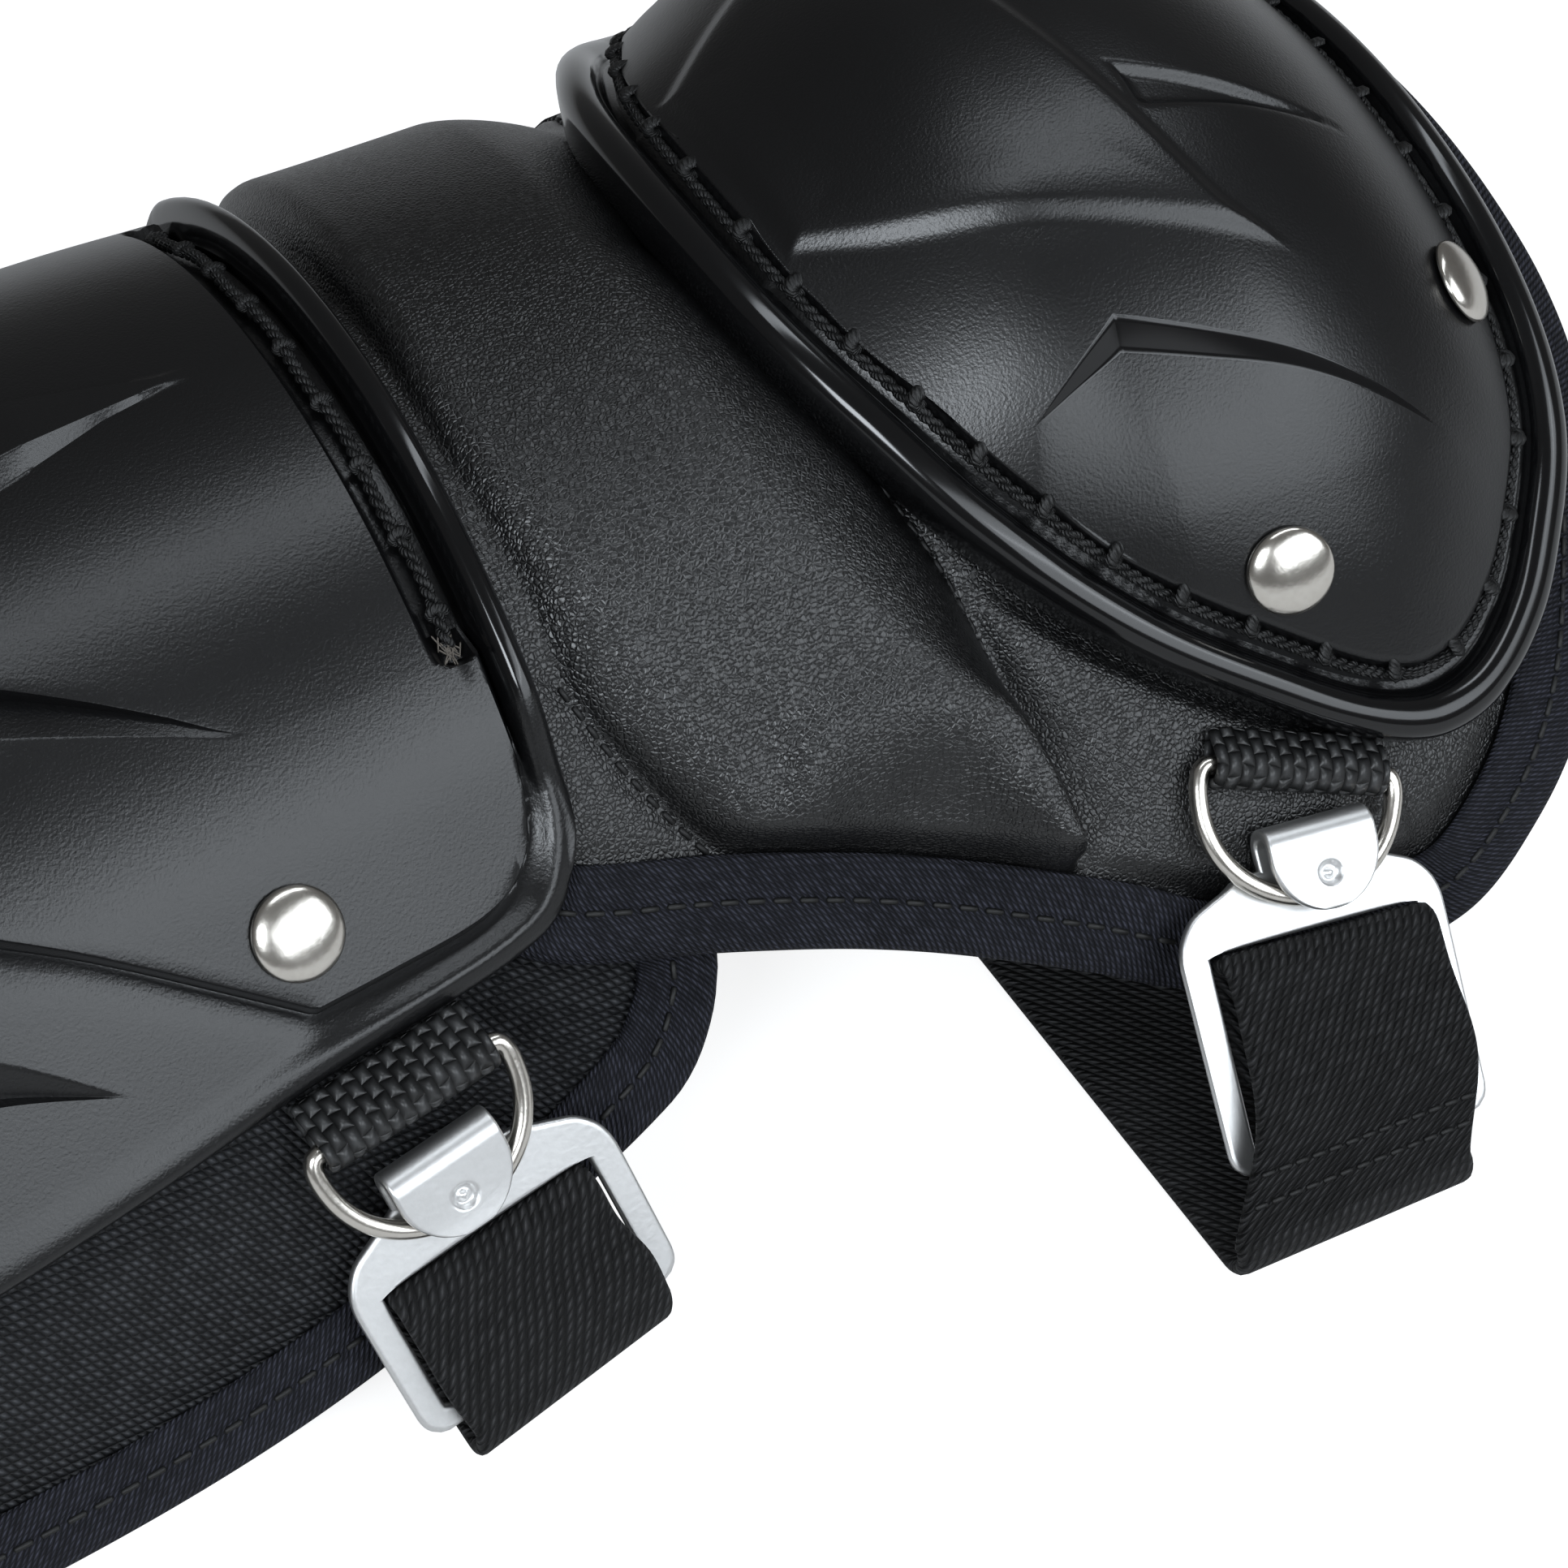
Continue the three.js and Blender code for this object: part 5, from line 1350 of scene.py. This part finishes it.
# %% Lacing
def tube(path, normal, radius, around, loop=False):
    """Round tube along a path of points, with normals to start its section from."""
    step = unit(np.roll(path, -1, 0) - np.roll(path, 1, 0) if loop else np.gradient(path, axis=0))
    side = unit(np.cross(step, normal))
    up = np.cross(side, step)
    a = np.linspace(0, 2 * np.pi, around + 1)
    over = np.cos(a)[None, :-1, None] * side[:, None] + np.sin(a)[None, :-1, None] * up[:, None]
    grid = path[:, None] + radius * over
    run = lengths(path) * 1000
    if loop:
        run = np.append(run, run[-1] + run[1])
    pattern = pairs(run[:, None], a[None, :] * radius * 1000)
    return band(grid, pattern, loop=loop)


def twisted(path, normal, lay, spread, radius, loop=False):
    """Two strands: each circles the path once in every lay, half a turn apart."""
    step = np.roll(path, -1, 0) - np.roll(path, 1, 0) if loop else np.gradient(path, axis=0)
    side = unit(np.cross(step, normal))
    length = np.linalg.norm(np.diff(path, axis=0), axis=1).sum()
    turns = max(round(length / lay), 1)
    a = np.linspace(0, 2 * np.pi * turns, len(path) + (1 if loop else 0))[:len(path)]
    made = []
    for start in (0, np.pi):
        ring = spread * (np.cos(a + start)[:, None] * side + np.sin(a + start)[:, None] * normal)
        made.append(tube(path + ring, normal, radius, 7, loop))
    return made


def knots(seat, along, normal, side, radius, wire):
    """Small closed loops standing across a cord, one ring of wire for each seat."""
    a = np.linspace(0, 2 * np.pi, 13)[:-1]
    b = np.linspace(0, 2 * np.pi, 7)[:-1]
    made = []
    for p, t, n, o in zip(seat, along, normal, side):
        far = radius + wire * np.cos(b)[None, :]
        spin = np.cos(a)[:, None, None] * o + np.sin(a)[:, None, None] * (0.5 * n + 0.4 * t)
        grid = p + far[..., None] * spin + wire * np.sin(b)[None, :, None] * t
        pattern = pairs(np.arange(13)[:, None] * 0.6, np.arange(7)[None, :] * 0.5)
        made.append(band(grid, pattern, loop=True))
    return made


LACE_INSET = 8.15
LACE_HIGH = 5.95
KNOT_INSET = 8.9
KNOT_HIGH = 7.1
line_in = rim - LACE_INSET * rim_out
lace = place(*line_in.T, LACE_HIGH)[::2]
lace_up = unit(lace - place(*line_in.T, LACE_HIGH - 1)[::2])
cap_lacing = twisted(lace, lace_up, lay=0.0034, spread=0.0004, radius=0.00052, loop=True)
around = np.linalg.norm(lace - np.roll(lace, 1, 0), axis=1).cumsum()
at = np.searchsorted(around, np.arange(0.004, around[-1], 0.0102))
seat_line = rim - KNOT_INSET * rim_out
seat_at = place(*seat_line.T, KNOT_HIGH)[::2][at]
ahead_at = unit((np.roll(lace, -1, 0) - np.roll(lace, 1, 0))[at])
across = np.cross(ahead_at, lace_up[at])
cap_lacing += knots(seat_at, ahead_at, lace_up[at], across, radius=0.00115, wire=0.0009)
piece("knee_cap_lacing", "thread", cap_lacing)

# %% [markdown]
# The shin plate is laced along a short groove across its top only. The cord there wavers a
# little from side to side, and its two strands have ends.

# %% Lacing of the shin plate
arc = np.linspace(-42.5, 42.5, 300)
lace_x = -7.5 + 0.3 * np.sin(arc / 3.1)
lace = place(lace_x, arc, 2.75)
lace_up = (place(lace_x, arc, 3.75) - lace) * 1000
shin_lacing = twisted(lace, lace_up, lay=0.0036, spread=0.0004, radius=0.0005)
at = np.arange(14, 290, 34)
along = unit(np.gradient(lace, axis=0)[at])
across = np.cross(along, lace_up[at])
seat_at = lace[at] + 0.0004 * lace_up[at]
shin_lacing += knots(seat_at, along, lace_up[at], across, radius=0.001, wire=0.0006)
piece("shin_plate_lacing", "thread", shin_lacing)

# %% [markdown]
# Stitches are small rounded bars, half sunk in what they hold. There are hundreds, so one bar of
# a few faces is worked out once and carried to every place as arrays.

# %% Stitches
def stitches(seat, along, normal, length, width, high):
    """One closed bar per seat: rings along its length, narrow at both ends."""
    t = np.array([-1.0, -0.8, 0.8, 1.0])
    r = np.array([0.35, 1.0, 1.0, 0.35])
    a = np.linspace(0, 2 * np.pi, 7)[:-1]
    along = unit(along)
    side = np.cross(normal, along)
    ring = r[:, None] * np.cos(a)[None, :]
    lift = r[:, None] * np.sin(a)[None, :]
    sag = (1 - np.abs(t) ** 2)[:, None]
    grid = (seat[:, None, None] + (t * length / 2)[None, :, None, None] * along[:, None, None]
            + ring[None, ..., None] * width / 2 * side[:, None, None]
            + (lift * high + sag * high * 0.4)[None, ..., None] * normal[:, None, None])
    index = np.arange(24).reshape(4, 6)
    quad = cells(np.concatenate([index, index[:, :1]], 1))
    start = (np.arange(len(seat)) * 24)[:, None, None]
    faces = [(quad[None] + start).reshape(-1, 4),
             (np.stack([index[0], index[3][::-1]])[None] + start).reshape(-1, 6)]
    return {"points": grid.reshape(-1, 3), "faces": faces, "marks": {},
            "uv": [np.zeros((len(f), f.shape[1], 2)) for f in faces]}


def sewn_row(surface, line, pitch, length, width=0.0008, high=0.00042):
    """A row of stitches along a line of the flat pattern, standing on a surface."""
    dense = drawn(line, 600)
    run = lengths(dense)
    at = np.arange(pitch / 2, run[-1], pitch)
    x, arc = (np.interp(at, run, dense[:, k]) for k in (0, 1))
    ahead = [np.interp(at + 0.3, run, dense[:, k]) for k in (0, 1)]
    seat, normal = squared(surface, x, arc)
    return stitches(seat, surface(*ahead) - seat, normal, length, width, high)


def on_hide(x, arc):
    """Point of the leather face, inside the tape."""
    return place(x, arc, knee_level(x, arc) + knee_face(x, arc))


def on_tape(level):
    """Face of a binding along its stitched line."""
    return lambda x, arc: place(x, arc, 0.62 + level(x, arc))


seams = []
for side in (-1, 1):
    for rows in (SEAM_LONG, SEAM_SHORT):
        line = [(x, a * side) for x, a in drawn(rows, 40)]
        seams.append(sewn_row(on_hide, line[1:-2], pitch=2.8, length=0.0021))
piece("knee_pad_seams", "thread", seams)
rows_of_tape = []
for (path, out, run), level in ((knee_tape, knee_level), (shin_tape, shin_level)):
    line = (path - SEWN_IN * out)[::6]
    rows_of_tape.append(sewn_row(on_tape(level), line, STITCH_PITCH, length=0.0025))
piece("binding_stitches", "thread", rows_of_tape)

# %% [markdown]
# Two rows of stitches hold the end of the knee strap, just above its fold on the floor. The
# lacing is cut at the near end of its groove, and a tuft of pale fibres stands out there. The
# random draws start from a fixed seed, so the tuft is the same every time.

# %% Sewn end of the knee strap and the frayed end of the lacing
strap = STRAPS["knee"]
gone = lengths(strap[:, :3])
fold_at = gone[np.argmin(strap[:, 1])]
share = np.linspace(0.06, 0.94, 13)[:, None]
strap_rows = []
for before in (7.0, 10.5):
    row = strap[np.searchsorted(gone, fold_at - before)]
    up = unit(row[9:12] * (1 - share) + row[12:15] * share)
    seat = row[3:6] * (1 - share) + row[6:9] * share + up * STRAP_THICK / 2
    along = np.repeat((row[6:9] - row[3:6])[None], len(share), 0)
    strap_rows.append(stitches(metres(seat), along, up, length=0.0019, width=0.0007, high=0.0003))
piece("strap_knee_stitches", "thread", strap_rows)
FIBRES = 26
TIP_X = -7.6
TIP_ARC = -42.6
draw = np.random.default_rng(7)
tuft_x = TIP_X + draw.normal(0, 0.7, FIBRES)
tuft_arc = TIP_ARC + draw.normal(0, 0.8, FIBRES)
seat, up = squared(lambda x, arc: place(x, arc, 2.9 + 0 * x), tuft_x, tuft_arc)
lean_x = tuft_x + draw.normal(0, 0.7, FIBRES)
along = place(lean_x, tuft_arc - 1, 3.1 + draw.normal(0, 0.3, FIBRES)) - seat
tuft = stitches(seat, along, up, length=0.0018, width=0.0002, high=0.0001)
piece("lacing_frayed_end", "frayed", [tuft])

# %% [markdown]
# The floor is a pale sheet that glows for the camera, as paper lit to white does. One large soft
# box on the side of the clips gives the broad sheen on the near flanks, and a thin strip before
# it the sharp line on the beads. A strip overhead draws the soft line along the top of the plate,
# and a box on the left lights what faces that way. The sky stays dim, because the crest of the
# guard mirrors what is above and behind it, and it is nearly black in the photograph.

# %% Floor, light and sky
floor_points = [(-6, -6, -0.0004), (6, -6, -0.0004), (6, 6, -0.0004), (-6, 6, -0.0004)]
floor_mesh = bpy.data.meshes.new("floor")
floor_mesh.from_pydata(floor_points, [], [(0, 1, 2, 3)])
floor = bpy.data.objects.new("floor", floor_mesh)
bpy.context.scene.collection.objects.link(floor)
paper = bpy.data.materials.new("floor_paper")
paper.use_nodes = True
paper_shader = paper.node_tree.nodes["Principled BSDF"]
PAPER = {"Base Color": (0.5, 0.5, 0.5, 1), "Roughness": 0.9, SHINE: 0.1, "Emission Color": (1, 1, 1, 1)}
for key, value in PAPER.items():
    paper_shader.inputs[key].default_value = value
paper_seen = Wire(paper.node_tree, add_node(paper.node_tree, "LightPath").outputs["Is Camera Ray"])
paper.node_tree.links.new(paper_seen.spread(0.15, 0.8).socket, paper_shader.inputs["Emission Strength"])
floor_mesh.materials.append(paper)


def soft_box(name, place_at, aim, size, power):
    """An area light at a place, turned to its aim."""
    light = bpy.data.lights.new(name, "AREA")
    light.shape = "RECTANGLE"
    light.size, light.size_y = size
    light.energy = power
    light.color = (0.88, 0.94, 1.0)
    lamp = bpy.data.objects.new(name, light)
    bpy.context.scene.collection.objects.link(lamp)
    lamp.location = place_at
    lamp.visible_camera = False
    lamp.rotation_mode = "QUATERNION"
    lamp.rotation_quaternion = (Vector(aim) - Vector(place_at)).to_track_quat("-Z", "Y")


soft_box("near_box", (0.54, -1.05, 0.83), (0.05, 0.0, 0.05), (1.7, 0.8), 14.5)
soft_box("near_strip", (0.55, -0.95, 0.95), (0.05, 0.0, 0.05), (1.1, 0.05), 1.0)
soft_box("over_strip", (0.36, 0.09, 1.15), (0.0, 0.0, 0.05), (0.16, 1.1), 3.0)
soft_box("left_box", (-1.05, -0.95, 1.15), (-0.05, 0.0, 0.05), (0.6, 0.6), 17)
world = bpy.data.worlds.new("studio")
world.use_nodes = True
sky = world.node_tree
seen = add_node(sky, "LightPath").outputs["Is Camera Ray"]
strength = Wire(sky, seen).spread(0.12, 0.95)
sky.links.new(strength.socket, sky.nodes["Background"].inputs["Strength"])
sky.nodes["Background"].inputs["Color"].default_value = (1, 1, 1, 1)
bpy.context.scene.world = world
bpy.context.scene.view_settings.view_transform = "Standard"
print("lights", len(bpy.data.lights))
